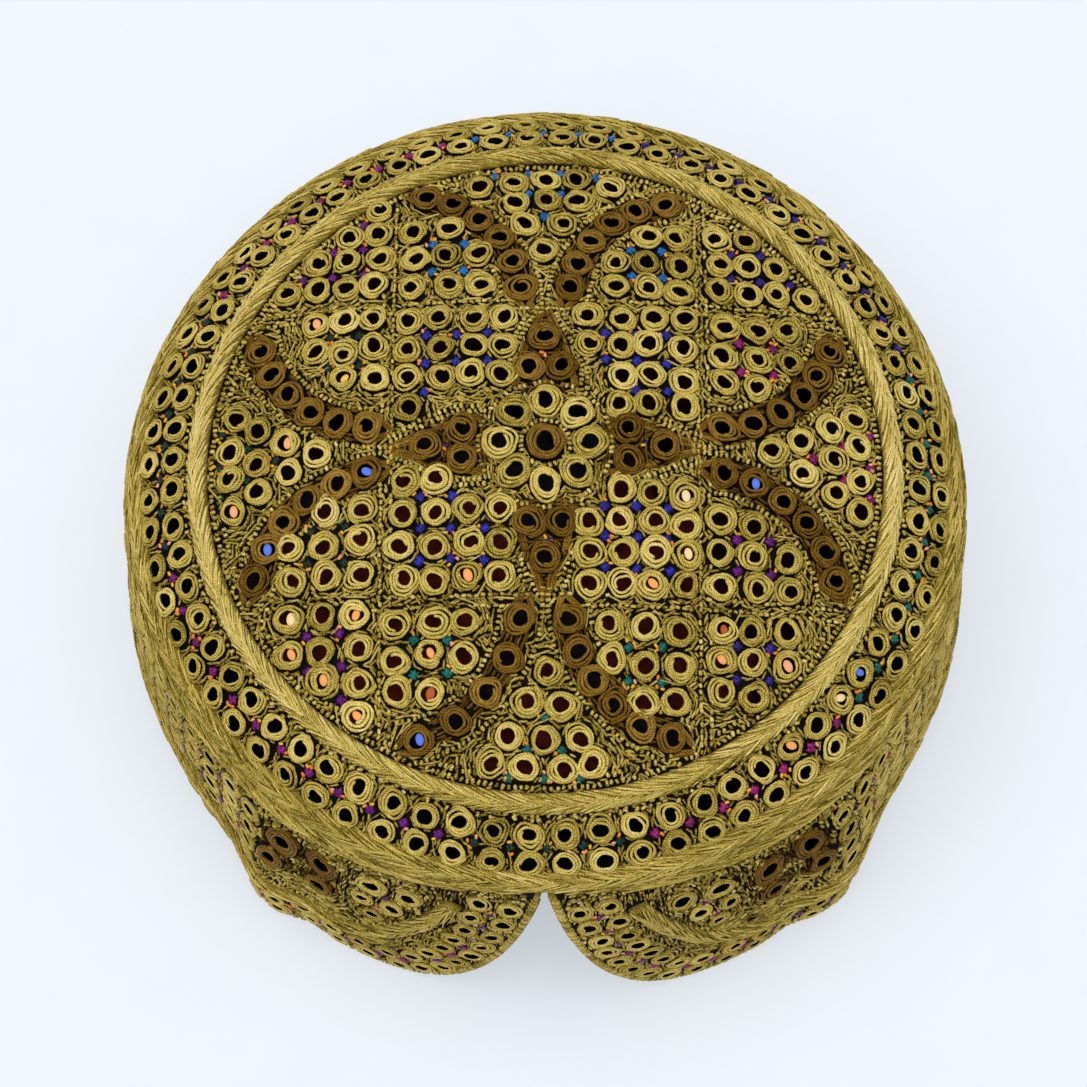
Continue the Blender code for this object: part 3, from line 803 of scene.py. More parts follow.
def add_core(threads, path, section):
    """The solid body under a braid's stitches."""
    length = path["run"][-1]
    count = int(length / 2.0)
    s = np.linspace(0.0, length, count, endpoint=not path["closed"])
    sides = len(section)
    a, lift = np.array(section).T
    verts = on_braid(path, np.repeat(s, sides), np.tile(a, count), np.tile(lift, count))
    j = np.arange(sides)
    n = (j + 1) % sides
    last = count if path["closed"] else count - 1
    k = np.arange(last)[:, None]
    nxt = (k + 1) % count
    quads = np.stack([k * sides + j, k * sides + n, nxt * sides + n, nxt * sides + j], -1)
    tris = []
    if not path["closed"]:
        end = (count - 1) * sides
        tris = [(0, i + 1, i) for i in range(1, sides - 1)]
        tris += [(end, end + i, end + i + 1) for i in range(1, sides - 1)]
    threads.gather(verts, quads, tris, verts * [1.0, 1.0, 0.0], np.full(len(verts), 0.12))


def turned_braid_path(at, slope_deg):
    deg = np.linspace(0.0, 360.0, 240, endpoint=False)
    places = round_places(deg, np.full_like(deg, at[0]), at[1], slope_deg)
    return braid_path(places, BRAID_W, BRAID_H, True)


def wall_angles(start):
    """Plan angles from one side of the notch round to the other, closer at the front."""
    near = np.linspace(start, 60.0, 60)
    round_back = np.linspace(60.0, 300.0, 90)[1:-1]
    return np.concatenate([near, round_back, 360.0 - near[::-1]])


def top_braid_share(deg):
    """How much of its full width the wall's top braid has, beside the notch and behind."""
    share = (deg - TOP_BRAID_START) / (TOP_BRAID_FULL - TOP_BRAID_START)
    return 0.5 + 0.5 * np.clip(share, 0.0, 1.0)


def top_braid_path():
    deg = wall_angles(TOP_BRAID_START)
    share = top_braid_share(np.abs(signed(deg)))
    width = TOP_BRAID_W * share
    z = TOP_BRAID_Z + (TOP_BRAID_W - width) / 2.0
    return braid_path(wall_places(deg, z), width, BRAID_H * share, False)


def wall_braid_path():
    deg = wall_angles(float(degrees_along(ARCH_START_S)))
    z = np.minimum(ARCH_START_Z, arch_height(length_along(deg)))
    return braid_path(wall_places(deg, z), BRAID_W, BRAID_H, False)


def rim_path():
    """The rim cord's middle line, from the notch's one side round to the other."""
    start = degrees_along(NOTCH_TOP_S + np.linspace(0.0, 1.0, 80) ** 1.3 * NOTCH_REACH)
    deg = np.concatenate([start, np.linspace(start[-1], 360.0 - start[-1], 160)[1:-1],
                          360.0 - start[::-1]])
    a = np.radians(deg)
    places = {"at": wall_points(deg, cord_height(length_along(deg)), -CLOTH / 2.0 + 0.1),
              "out": np.stack([np.sin(a), -np.cos(a), 0.0 * a], -1)}
    return braid_path(places, CORD_H, CORD_W + 0.1, False)


def make_rim_cord():
    """Oblique wraps of thread round the cord that binds the rim and the notch."""
    threads = Threads()
    path = rim_path()
    corners = [i / 8.0 * TAU for i in range(8)]
    add_core(threads, path, [(0.40 * math.cos(a), 0.38 * math.sin(a)) for a in corners])
    starts = np.arange(0.0, path["run"][-1] - 2.8, 0.78)
    number = len(starts)
    stations = 8
    turn = np.linspace(-0.46, 0.46, stations) * TAU
    lean = rng.uniform(1.9, 2.9, (number, 1))
    s = starts[:, None] + lean * np.linspace(0.0, 1.0, stations)[None]
    s = s + rng.uniform(-0.18, 0.18, (number, 1))
    a = np.broadcast_to(np.sin(turn)[None] * 0.45, s.shape)
    lift = np.broadcast_to(np.cos(turn)[None] * 0.43, s.shape)
    paths = on_braid(path, s, a, lift)
    out = unit(paths - on_braid(path, s, 0.0 * a, 0.0 * lift))
    wide = 0.40 * rng.uniform(0.75, 1.15, (number, 1)) * np.ones((1, stations))
    threads.add(paths, out, wide, wide * 0.75, 4, tints(number, 0.48, 0.28, 0.05))
    threads.make("rim_cord_threads", "gold", ("rim_cord",))


def make_braids():
    crown = turned_braid_path(CROWN_BRAID_AT, CROWN_BRAID_SLOPE)
    shoulder = turned_braid_path(SHOULDER_BRAID_AT, SHOULDER_BRAID_SLOPE)
    # The crown braid gets painted shade, darker at its front and its back
    for braid in table("name path rows spacing tone dip replaced",
                       ("crown", crown, PLAIT_ROWS, 1.0, 1.06, 0.44, "crown_ring_braid"),
                       ("shoulder", shoulder, LONG_ROWS, 1.3, 0.52, 0.0, "shoulder_braid"),
                       ("wall_top", top_braid_path(), LONG_ROWS, 1.35, 0.55, 0.0,
                        "wall_top_braid"),
                       ("wall", wall_braid_path(), LONG_ROWS, 1.4, 0.60, 0.0, "wall_braid")):
        threads = Threads()
        add_core(threads, braid["path"], BRAID_SECTION)
        add_braid(threads, braid["path"], braid["rows"], braid["spacing"], 0.26, braid["tone"],
                  braid["dip"])
        threads.make(f"{braid['name']}_braid_threads", "gold", (braid["replaced"],))
    # Long strokes close the seam between the two braids at the top of the wall
    threads = Threads()
    seam = braid_path(wall_places(wall_angles(2.4), SEAM_Z), 2.4, 0.9, False)
    add_braid(threads, seam, SEAM_ROWS, 1.9, 0.30, 0.45)
    threads.make("wall_seam_threads", "gold")
    make_rim_cord()


# Cloth

def finish_cloth(obj, inside, replaced):
    obj.data.set_sharp_from_angle(angle=math.radians(50.0))
    set_attribute(obj, "inside", "FLOAT", inside)
    finish_piece(obj, "cloth", (replaced,))


def turned_cloth(name, profile, replaced, relief):
    """A closed profile turned about the cap's axis, with a slight quilted unevenness."""
    steps = 160
    on_axis = profile[0, 0] < 1e-6
    ring = profile[1:-1] if on_axis else profile
    count = len(ring)
    a = np.arange(steps) / steps * TAU
    r = np.repeat(ring[None, :, 0], steps, axis=0)
    z = ring[None, :, 1] + relief * np.sin(ring[None, :, 0] * 1.1) * np.sin(a[:, None] * 36.0)
    verts = np.stack([r * np.sin(a)[:, None], -r * np.cos(a)[:, None], z], -1).reshape(-1, 3)
    i = np.arange(steps)[:, None]
    nxt = (i + 1) % steps
    k = np.arange(count - 1 if on_axis else count)[None]
    k2 = (k + 1) % count
    quads = np.stack([i * count + k, i * count + k2, nxt * count + k2, nxt * count + k], -1)
    inside = np.tile(np.arange(count) * 2 >= count, steps).astype(float)
    tris = []
    if on_axis:
        top = len(verts)
        verts = np.concatenate([verts, [[0.0, 0.0, profile[0, 1]], [0.0, 0.0, profile[-1, 1]]]])
        inside = np.concatenate([inside, [0.0, 1.0]])
        for j in range(steps):
            m = (j + 1) % steps
            tris.append((top, j * count, m * count))
            tris.append((top + 1, m * count + count - 1, j * count + count - 1))
    finish_cloth(new_mesh_object(name, verts, quads, tris), inside, replaced)


def make_turned_cloths():
    r = np.linspace(0.0, CROWN_CUT_R, 30)
    places = crown_places(r, 0.0 * r)
    outer = np.stack([r, places["at"][:, 2]], -1)
    inner = outer - np.stack([places["out"][:, 0], places["out"][:, 2]], -1) * CLOTH
    inner[0, 0] = 0.0
    turned_cloth("crown_cloth", np.concatenate([outer, inner[::-1]]), "crown_panel", 0.06)
    slopes = np.linspace(*BAND_SLOPES, 12)
    outer = np.stack(band_profile(slopes), -1)
    inner = np.stack(band_profile(slopes[::-1], CLOTH), -1)
    turned_cloth("shoulder_cloth", np.concatenate([outer, inner]), "shoulder_band", 0.05)


def make_wall_cloth():
    """The wall, cut away in the arched notch."""
    s, edge_z = hem_line(0.5, 0.5)
    finer_s = 45.0
    deg = np.concatenate([np.degrees(np.linspace(s[0], finer_s, 70) / WALL_ARC_R),
                          np.linspace(np.degrees(finer_s / WALL_ARC_R), 180.0, 90)[1:]])
    low = np.interp(np.radians(deg) * WALL_ARC_R, s, edge_z)
    deg = np.concatenate([deg, 360.0 - deg[-2::-1]])
    low = np.concatenate([low, low[-2::-1]])
    rows = 18
    z = WALL_TOP_Z + (low[:, None] - WALL_TOP_Z) * np.linspace(0.0, 1.0, rows)[None]
    grid = np.repeat(deg[:, None], rows, axis=1)
    outer = wall_points(grid, z).reshape(-1, 3)
    quilt = 0.10 * np.sin(z * 0.9) * np.sin(np.radians(grid) * 72.0)
    inner = wall_points(grid, z, -CLOTH + quilt).reshape(-1, 3)
    back = len(outer)
    columns = len(deg)
    a = (np.arange(columns - 1)[:, None] * rows + np.arange(rows - 1)[None]).ravel()
    b = a + rows
    top = np.arange(columns - 1) * rows
    foot = top + rows - 1
    side = np.arange(rows - 1)
    far = (columns - 1) * rows + side
    quads = [(a, a + 1, b + 1, b), (back + a, back + b, back + b + 1, back + a + 1),
             (top, top + rows, back + top + rows, back + top),
             (foot, back + foot, back + foot + rows, foot + rows),
             (side, back + side, back + side + 1, side + 1),
             (far, far + 1, back + far + 1, back + far)]
    quads = np.concatenate([np.stack(corners, -1) for corners in quads])
    obj = new_mesh_object("wall_cloth", np.concatenate([outer, inner]), quads, [])
    finish_cloth(obj, np.repeat([0.0, 1.0], back), "side_wall")


# Materials

class Look:
    """A new material, whose nodes feed its Principled BSDF."""

    def __init__(self, name):
        self.material = bpy.data.materials.new(name)
        self.material.use_nodes = True
        self.tree = self.material.node_tree
        self.inputs = self.tree.nodes["Principled BSDF"].inputs
        self.place = self.node("TexCoord", {}, "Object")

    def feed(self, inputs, values):
        """Sets each socket's own value, or links another node's output to it."""
        for key, value in values.items():
            if isinstance(value, bpy.types.NodeSocket):
                self.tree.links.new(value, inputs[key])
            else:
                inputs[key].default_value = value

    def node(self, kind, values, output=0, **settings):
        node = self.tree.nodes.new("ShaderNode" + kind)
        for key, value in settings.items():
            setattr(node, key, value)
        self.feed(node.inputs, values)
        return node.outputs[output]

    def math(self, operation, *values):
        return self.node("Math", dict(enumerate(values)), operation=operation)

    def mix_in(self, value, factor, other):
        """value * factor + other."""
        return self.math("MULTIPLY_ADD", value, factor, other)

    def noise(self, vector, scale, detail, roughness):
        return self.node("TexNoise", {"Scale": scale, "Detail": detail, "Roughness": roughness,
                                      "Vector": vector}, "Fac")

    def attribute(self, name, output):
        return self.node("Attribute", {}, output, attribute_name=name)

    def scaled(self, vector, factor):
        return self.node("VectorMath", {0: vector, "Scale": factor}, operation="SCALE")

    def ramp(self, value, stops):
        node = self.tree.nodes.new("ShaderNodeValToRGB")
        elements = node.color_ramp.elements
        for i, (place, colour) in enumerate(stops):
            element = elements[i] if i < 2 else elements.new(place)
            element.position = place
            element.color = (*colour, 1.0)
        self.feed(node.inputs, {"Fac": value})
        return node.outputs["Color"]

    def finish(self, values, height, strength, distance):
        self.feed(self.inputs, values)
        bump = self.node("Bump", {"Strength": strength, "Distance": distance,
                                  "Height": height}, "Normal")
        self.feed(self.inputs, {"Normal": bump})
        return self.material

    def fibres(self):
        """Streaks that run along each thread, and its twist, from the thread's own marks."""
        marks = self.attribute("thread", "Vector")
        tint = self.attribute("tint", "Fac")
        along = self.node("SeparateXYZ", {0: marks}, "X")
        around = self.node("SeparateXYZ", {0: marks}, "Y")
        offset = self.math("MULTIPLY", tint, 60.0)
        spread = self.math("MULTIPLY", around, 9.0)
        slide = self.mix_in(along, 0.9, offset)
        join = self.node("CombineXYZ", {"X": slide, "Y": spread, "Z": offset})
        streaks = self.noise(join, 1.0, 3.0, 0.65)
        turns = self.mix_in(along, TAU / TWIST_MM, 0.0)
        phase = self.mix_in(around, TAU * 2.0, turns)
        bent = self.mix_in(self.noise(self.place, 700.0, 2.0, 0.5), 9.0, phase)
        return streaks, self.mix_in(self.math("SINE", bent), 0.5, 0.5), tint


def thread_material(name, stops, sheen):
    """Floss: streaked along the thread, lightly twisted, darker where it is worn."""
    look = Look(name)
    streaks, twist, tint = look.fibres()
    value = look.math("MULTIPLY", tint, 0.45)
    value = look.mix_in(streaks, 1.30, value)
    value = look.mix_in(look.noise(look.place, 38.0, 3.0, 0.6), 0.30, value)
    value = look.mix_in(twist, 0.22, value)
    value = look.math("SUBTRACT", value, 0.72)
    return look.finish({
        "Base Color": look.ramp(value, stops), "Roughness": look.mix_in(streaks, -0.25, 0.68),
        "Sheen Weight": 0.04, "Sheen Roughness": 0.45, "Sheen Tint": sheen, "Metallic": 0.25,
        "Specular IOR Level": 0.12, "Specular Tint": sheen,
    }, look.mix_in(twist, 0.60, streaks), 0.70, 0.00020)


def silk_material():
    look = Look("silk_floss")
    streaks, twist, _ = look.fibres()
    colour = look.scaled(look.attribute("silk", "Color"), look.mix_in(streaks, 0.9, 0.55))
    return look.finish({
        "Base Color": colour, "Roughness": look.mix_in(streaks, -0.3, 0.52),
        "Sheen Weight": 0.03, "Specular IOR Level": 0.3,
    }, look.mix_in(twist, 0.4, streaks), 0.5, 0.00012)


def cloth_material():
    """Black cotton: a fine plain weave with slubs and rubbed, browner patches."""
    look = Look("black_quilted_cotton")
    waves = []
    for axis in ("X", "Y", "Z"):
        along = look.node("SeparateXYZ", {0: look.place}, axis)
        waves.append(look.math("SINE", look.math("MULTIPLY", along, TAU / WEAVE_M)))
    weave = look.mix_in(waves[2], 0.5, look.math("MULTIPLY", waves[0], waves[1]))
    slubs = look.noise(look.place, 900.0, 3.0, 0.6)
    value = look.mix_in(weave, 0.12, slubs)
    value = look.mix_in(look.noise(look.place, 45.0, 3.0, 0.55), 0.5, value)
    value = look.math("MULTIPLY", value, 0.62)
    # Painted light: the inner face is lightened several times over, where little light reaches
    # inside the cap
    inside_painted_light = look.mix_in(look.attribute("inside", "Fac"), INNER_PAINTED_LIGHT, 1.0)
    return look.finish({
        "Base Color": look.scaled(look.ramp(value, CLOTH_STOPS), inside_painted_light),
        "Roughness": look.mix_in(slubs, 0.2, 0.72), "Sheen Weight": 0.01,
        "Sheen Roughness": 0.5, "Specular IOR Level": 0.08,
    }, look.mix_in(weave, 0.4, slubs), 0.5, 0.00020)


def mirror_material(name, dark, marked=True):
    """Small dark mirror glass with faint dust. Where a mirror is marked, a painted
    reflection, a flat coloured oval, covers most of its face."""
    look = Look(name)
    cloud = look.noise(look.place, 320.0, 3.0, 0.6)
    base = look.ramp(cloud, ((0.30, dark[0]), (0.75, dark[1])))
    metal = 1.0
    if marked:
        # The painted reflection: a flat colour inside an oval, brighter towards its middle, in
        # place of the dark glass
        away = look.node("VectorMath", {0: look.attribute("spot", "Vector")}, "Value",
                         operation="LENGTH")
        edge = look.node("MapRange", {"From Min": 1.06, "From Max": 0.94, "Value": away},
                         interpolation_type="SMOOTHSTEP")
        share = look.math("MULTIPLY", edge, look.attribute("glass", "Alpha"))
        glint = look.scaled(look.attribute("glass", "Color"), look.mix_in(away, -0.25, 1.12))
        base = look.node("Mix", {"Factor": share, "A": base, "B": glint}, "Result",
                         data_type="RGBA")
        metal = look.math("SUBTRACT", 1.0, share)
    return look.finish({
        "Base Color": base, "Metallic": metal, "Specular Tint": (0.04, 0.04, 0.05, 1.0),
        "Roughness": look.mix_in(cloud, 0.12, 0.03),
    }, cloud, 0.15, 0.00005)


def floor_material():
    look = Look("pale_floor")
    grain = look.noise(look.place, 60.0, 4.0, 0.5)
    # The emission is painted light that fills the shadows on and around the cap
    look.feed(look.inputs, {
        "Base Color": look.ramp(grain, FLOOR_STOPS), "Emission Color": FLOOR_GLOW,
        "Emission Strength": FLOOR_GLOW_STRENGTH, "Roughness": 0.9, "Specular IOR Level": 0.1})
    return look.material


# Layout of the crown

def group_rings(group):
    """Ring places of one group in a corner circle, and the gaps between them."""
    rings = []
    gaps = []
    counts = group["counts"]
    for row, count in enumerate(counts):
        for column in range(count):
            x = group["sx"] * (group["x0"] + column * group["dx"])
            y = group["sy"] * (group["y0"] + row * group["dy"])
            rings.append((x, y))
            if row + 1 < len(counts) and column < counts[row + 1] and column + 1 < count:
                gaps.append((x + group["sx"] * group["dx"] / 2.0,
                             y + group["sy"] * group["dy"] / 2.0))
    return rings, gaps


def wedge_rings(wedge):
    rings = []
    gaps = []
    for r, count in zip(WEDGE_ROWS_R, wedge["rows"]):
        for i in range(count):
            a = math.radians(wedge["deg"]) + (i - (count - 1) / 2.0) * WEDGE_STEP / r
            rings.append(circle(a, r))
            if i + 1 < count:
                gaps.append(circle(a + WEDGE_STEP / r / 2.0, r + 2.4))
    return rings, gaps


def corner_curve(form, a, r, reach=1.0):
    """Points at angles on a corner's circle, turned towards x or y."""
    inward = GRID_HALF - r * np.cos(a)
    outward = GRID_HALF + r * reach * np.sin(a)
    dx, dy = (inward, outward) if form["kind"] == "x" else (outward, inward)
    return np.stack([form["sx"] * dx, form["sy"] * dy], -1)


def arc_rings(arc):
    return corner_curve(arc, np.radians(np.linspace(*ARC_SPAN, arc["rings"])), CIRCLE_R,
                        arc["reach"])


def quarters():
    """Forward and sideways directions of the four petals."""
    for deg in (0.0, 90.0, 180.0, 270.0):
        a = math.radians(deg)
        yield np.array([math.sin(a), -math.cos(a)]), np.array([math.cos(a), math.sin(a)])


def round_petals(places):
    """The same places, as lengths forward and aside, on all four petals."""
    return np.array([forward * f + aside * w for forward, aside in quarters()
                     for f, w in places])


def jitter(points, amount):
    points = np.asarray(points, float)
    return points + rng.normal(0.0, amount, points.shape)


def spaced(points, step):
    """Points at an even step along a line of points."""
    points = np.asarray(points, float)
    run = np.concatenate([[0.0], np.cumsum(np.linalg.norm(np.diff(points, axis=0), axis=1))])
    marks = np.arange(0.0, run[-1], step)
    return np.stack([np.interp(marks, run, points[:, i]) for i in range(2)], -1)


def headings(points):
    d = np.gradient(points, axis=0)
    return np.arctan2(d[:, 1], d[:, 0])


def clearance(points, centres, sizes):
    """Distance from each point to the nearest ring's edge, and that ring's index."""
    gaps = []
    nearest = []
    sizes = np.broadcast_to(sizes, len(centres))
    for chunk in np.array_split(points, 12):
        gap = np.linalg.norm(chunk[:, None] - centres[None], axis=-1) - sizes[None]
        nearest.append(gap.argmin(axis=1))
        gaps.append(gap[np.arange(len(chunk)), nearest[-1]])
    return np.concatenate(gaps), np.concatenate(nearest)


def thin_out(points, least):
    """Keeps points that are at least that far from the ones kept before them."""
    kept = []
    cells = {}
    for index, (x, y) in enumerate(points):
        i, j = int(x // least), int(y // least)
        near = [k for di in (-1, 0, 1) for dj in (-1, 0, 1)
                for k in cells.get((i + di, j + dj), ())
                if (points[k, 0] - x) ** 2 + (points[k, 1] - y) ** 2 < least * least]
        if not near:
            kept.append(index)
            cells.setdefault((i, j), []).append(index)
    return np.array(kept, int)


def seed_lines():
    """Lines of seed stitches on the crown, each with how its stitches are turned."""
    lines = []
    for sx in (-1, 1):
        for side in (-SEED_ASIDE, SEED_ASIDE):
            x = sx * GRID_HALF + side
            for sy in (-1, 1):
                ends = [(x, sy * 5.0), (x, sy * SEED_LINE_END)]
                lines.append((spaced(ends, 1.25), 0.0))
                y = sy * GRID_HALF + side
                ends = [(sx * 3.5, y), (sx * SEED_LINE_END, y)]
                lines.append((spaced(ends, 1.3), 0.0))
    a = np.radians(np.linspace(-6.0, 92.0, 120))
    for form in table("sx sy kind", *[(sx, sy, kind) for sx in (-1, 1) for sy in (-1, 1)
                                      for kind in "xy"]):
        for r in (CIRCLE_R - SEED_OFF_CIRCLE, CIRCLE_R + SEED_OFF_CIRCLE):
            lines.append((spaced(corner_curve(form, a, r), 1.15), QUARTER))
    for forward, aside in quarters():
        for side in (-1, 1):
            for out in (0.85, 2.00):
                line = [forward * (f + 0.4 * out) + aside * side * (w + out)
                        for f, w in PETAL_EDGE]
                lines.append((spaced(line, 1.15), QUARTER))
    a = np.radians(np.linspace(0.0, 360.0, 400))
    for r in ROSETTE_SEEDS_R:
        lines.append((spaced(circle(a, r), 1.1), QUARTER))
    return lines


def embroider_crown():
    fields = [(*group_rings(group), group["silk"]) for group in CIRCLE_GROUPS]
    fields += [(*wedge_rings(wedge), wedge["silk"]) for wedge in WEDGES]
    gold = [circle(np.arange(ROSETTE_COUNT) / ROSETTE_COUNT * TAU, ROSETTE_R)]
    gold += [jitter(rings, 0.32) for rings, _, _ in fields]
    gold = np.concatenate(gold)
    gaps = np.array([gap for _, holes, _ in fields for gap in holes])
    silks = [silk for _, holes, silk in fields for _ in holes]
    gold_sizes = GOLD_RING_R * rng.uniform(0.94, 1.06, len(gold))
    gold_sizes[:ROSETTE_COUNT] = ROSETTE_RING_R * rng.uniform(0.97, 1.04, ROSETTE_COUNT)
    holes = HOLE_R * rng.uniform(0.88, 1.14, len(gold))
    sew_rosette(gold[:ROSETTE_COUNT], gold_sizes[:ROSETTE_COUNT])
    sew_field("crown_gold_rings", "crown_mirrors", gold[ROSETTE_COUNT:],
              gold_sizes[ROSETTE_COUNT:], holes[ROSETTE_COUNT:], ("gold", "gold", "maroon"))
    brown = np.concatenate([sew_arcs(), sew_petals()])
    sew_crown_stars(gaps, silks)
    centres = np.concatenate([gold, brown, [[0.0, 0.0]]])
    sizes = np.concatenate([gold_sizes, np.full(len(brown), BROWN_RING_R), [CENTRE_RING_R]])
    tails = sew_tails()
    seeds = sew_crown_seeds(centres, sizes, tails)
    sew_crown_ground(centres, sizes, brown, gaps, tails, seeds)


def sew_arcs():
    """The eight brown arcs with their mirrors."""
    brown = []
    for arc in ARCS:
        points = jitter(arc_rings(arc), 0.15)
        brown.append(points)
        sizes = BROWN_RING_R * rng.uniform(0.97, 1.05, len(points))
        hole = HOLE_R * rng.uniform(0.95, 1.12, len(points))
        name = f"brown_arc_{arc['corner']}_{arc['kind']}"
        sew_field(f"{name}_rings", f"{name}_mirrors", points, sizes, hole,
                  ("arc", "brown", "black"), (name,))
    return np.concatenate(brown)


def sew_petals():
    """The petals' brown rings and the large one in the middle of the crown."""
    petals = round_petals(((PETAL_TIP_R, 0.0), (PETAL_FOOT_R, PETAL_FOOT_HALF),
                           (PETAL_FOOT_R, -PETAL_FOOT_HALF)))
    threads = Threads()
    add_rings(threads, crown_places(*petals.T), np.full(len(petals), BROWN_RING_R),
              np.full(len(petals), HOLE_R * 1.02), "petal")
    add_rings(threads, crown_places([0.0], [0.0]), np.array([CENTRE_RING_R]),
              np.array([CENTRE_HOLE_R]), "centre")
    threads.make("petal_and_centre_rings", "brown")
    return petals


def sew_crown_stars(gaps, silks):
    stars = Threads()
    add_stars(stars, crown_places(*jitter(gaps, 0.15).T), silks, 0.45)
    # Small knots lie between the three rings of each petal
    knots = crown_places(*round_petals(((20.0, 0.0), (20.6, 0.7))).T)
    add_stitches(stars, knots, rng.uniform(0.0, TAU, len(PETAL_KNOTS)),
                 silk=silk_colours(PETAL_KNOTS), **STITCHES["petal_knot"])
    stars.make("crown_silk_stars", "silk")


def sew_field(name, mirrors, points, sizes, holes, style, replaced=()):
    """Rings on the crown and their mirrors. style is how they are wound, and both looks."""
    threads = Threads()
    places = crown_places(*points.T)
    add_rings(threads, places, sizes, holes, style[0])
    threads.make(name, style[1], replaced)
    make_mirrors(mirrors, places, holes * 1.35, glint_tones(points, 3.2), style[2])


def sew_rosette(points, sizes):
    """Gold rings that touch each other round the centre, stretched away from it."""
    places = crown_places(*points.T)
    around = unit(np.stack([-points[:, 1], points[:, 0], np.zeros(len(points))], -1))
    places = spots(places["at"], places["out"], around)
    threads = Threads()
    add_rings(threads, places, sizes, np.full(len(points), HOLE_R * 1.08), "rosette")
    threads.make("rosette_rings", "gold")


def sew_crown_seeds(centres, sizes, tails):
    """Seed stitches along the crown's lines and irregular teeth inside its braid."""
    lines = seed_lines()
    points = [line for line, _ in lines]
    turns = [headings(line) + turned for line, turned in lines]
    for r, start in zip(TEETH_R, (0.0, 0.4)):
        count = int(TAU * r / TEETH_STEP)
        a = (np.arange(count) + start) / count * TAU
        points.append(circle(a, r))
        turns.append(a - QUARTER)
    points = np.concatenate(points)
    turns = np.concatenate(turns)
    gap, _ = clearance(points, centres, sizes)
    tail_gap, _ = clearance(points, tails, 0.7)
    keep = (gap > 0.2) & (np.hypot(*points.T) < SEEDS_END_R) & (tail_gap > 0.2)
    points = points[keep]
    kept = thin_out(points, SEEDS_APART)
    points = jitter(points[kept], 0.10)
    turns = turns[keep][kept] + rng.normal(0.0, 0.3, len(kept))
    threads = Threads()
    add_stitches(threads, crown_places(*points.T), turns, **STITCHES["seed"])
    threads.make("crown_seed_stitches", "gold")
    return points


def tail_strokes():
    """Brown strokes that draw each petal and each arc out to a point, as their two ends."""
    found = []
    for forward, aside in quarters():
        for side in (-1.0, 1.0):
            for k in range(6):
                start = forward * (PETAL_TIP_R - 0.4 + 0.55 * k) + aside * side * (3.9 - 0.55 * k)
                found.append((start, forward * (PETAL_END - 0.4 * k) + aside * side * 0.15))
            for k in range(3):
                start = forward * 12.6 + aside * side * (6.8 - 0.5 * k)
                end = forward * (PETAL_TIP_R - 1.0) + aside * side * (4.3 - 0.4 * k)
                found.append(((start + end) / 2.0 - (end - start) * 0.02, end))
                found.append((start, (start + end) / 2.0))
    for arc in ARCS:
        rings = arc_rings(arc)
        for last, before in ((rings[0], rings[1]), (rings[-1], rings[-2])):
            forward = unit(last - before)
            aside = np.array([-forward[1], forward[0]])
            for side in (-1.0, 1.0):
                for k in range(4):
                    start = last + forward * (0.4 + 0.7 * k) + aside * side * (3.6 - 0.75 * k)
                    found.append((start, last + forward * (6.2 - 0.5 * k) + aside * side * 0.2))
    return np.array(found)


def sew_tails():
    threads = Threads()
    ends = tail_strokes()
    ends = ends[np.hypot(*ends[:, 1].T) < CROWN_R]
    middle = ends.mean(axis=1)
    span = ends[:, 1] - ends[:, 0]
    add_stitches(threads, crown_places(*middle.T), np.arctan2(span[:, 1], span[:, 0]),
                 np.hypot(*span.T) + 0.6, (0.32, 0.42), 0.32, (0.35, 0.65),
                 tint=(0.48, 0.2, 0.05))
    threads.make("brown_tails", "brown")
    return middle


def in_petals(points):
    inside = np.zeros(len(points), bool)
    edge = np.array(PETAL_EDGE)
    for forward, aside in quarters():
        f = points @ forward
        half = np.interp(f, edge[:, 0], edge[:, 1])
        inside |= (f > edge[0, 0]) & (f < edge[-1, 0]) & (np.abs(points @ aside) < half)
    return inside


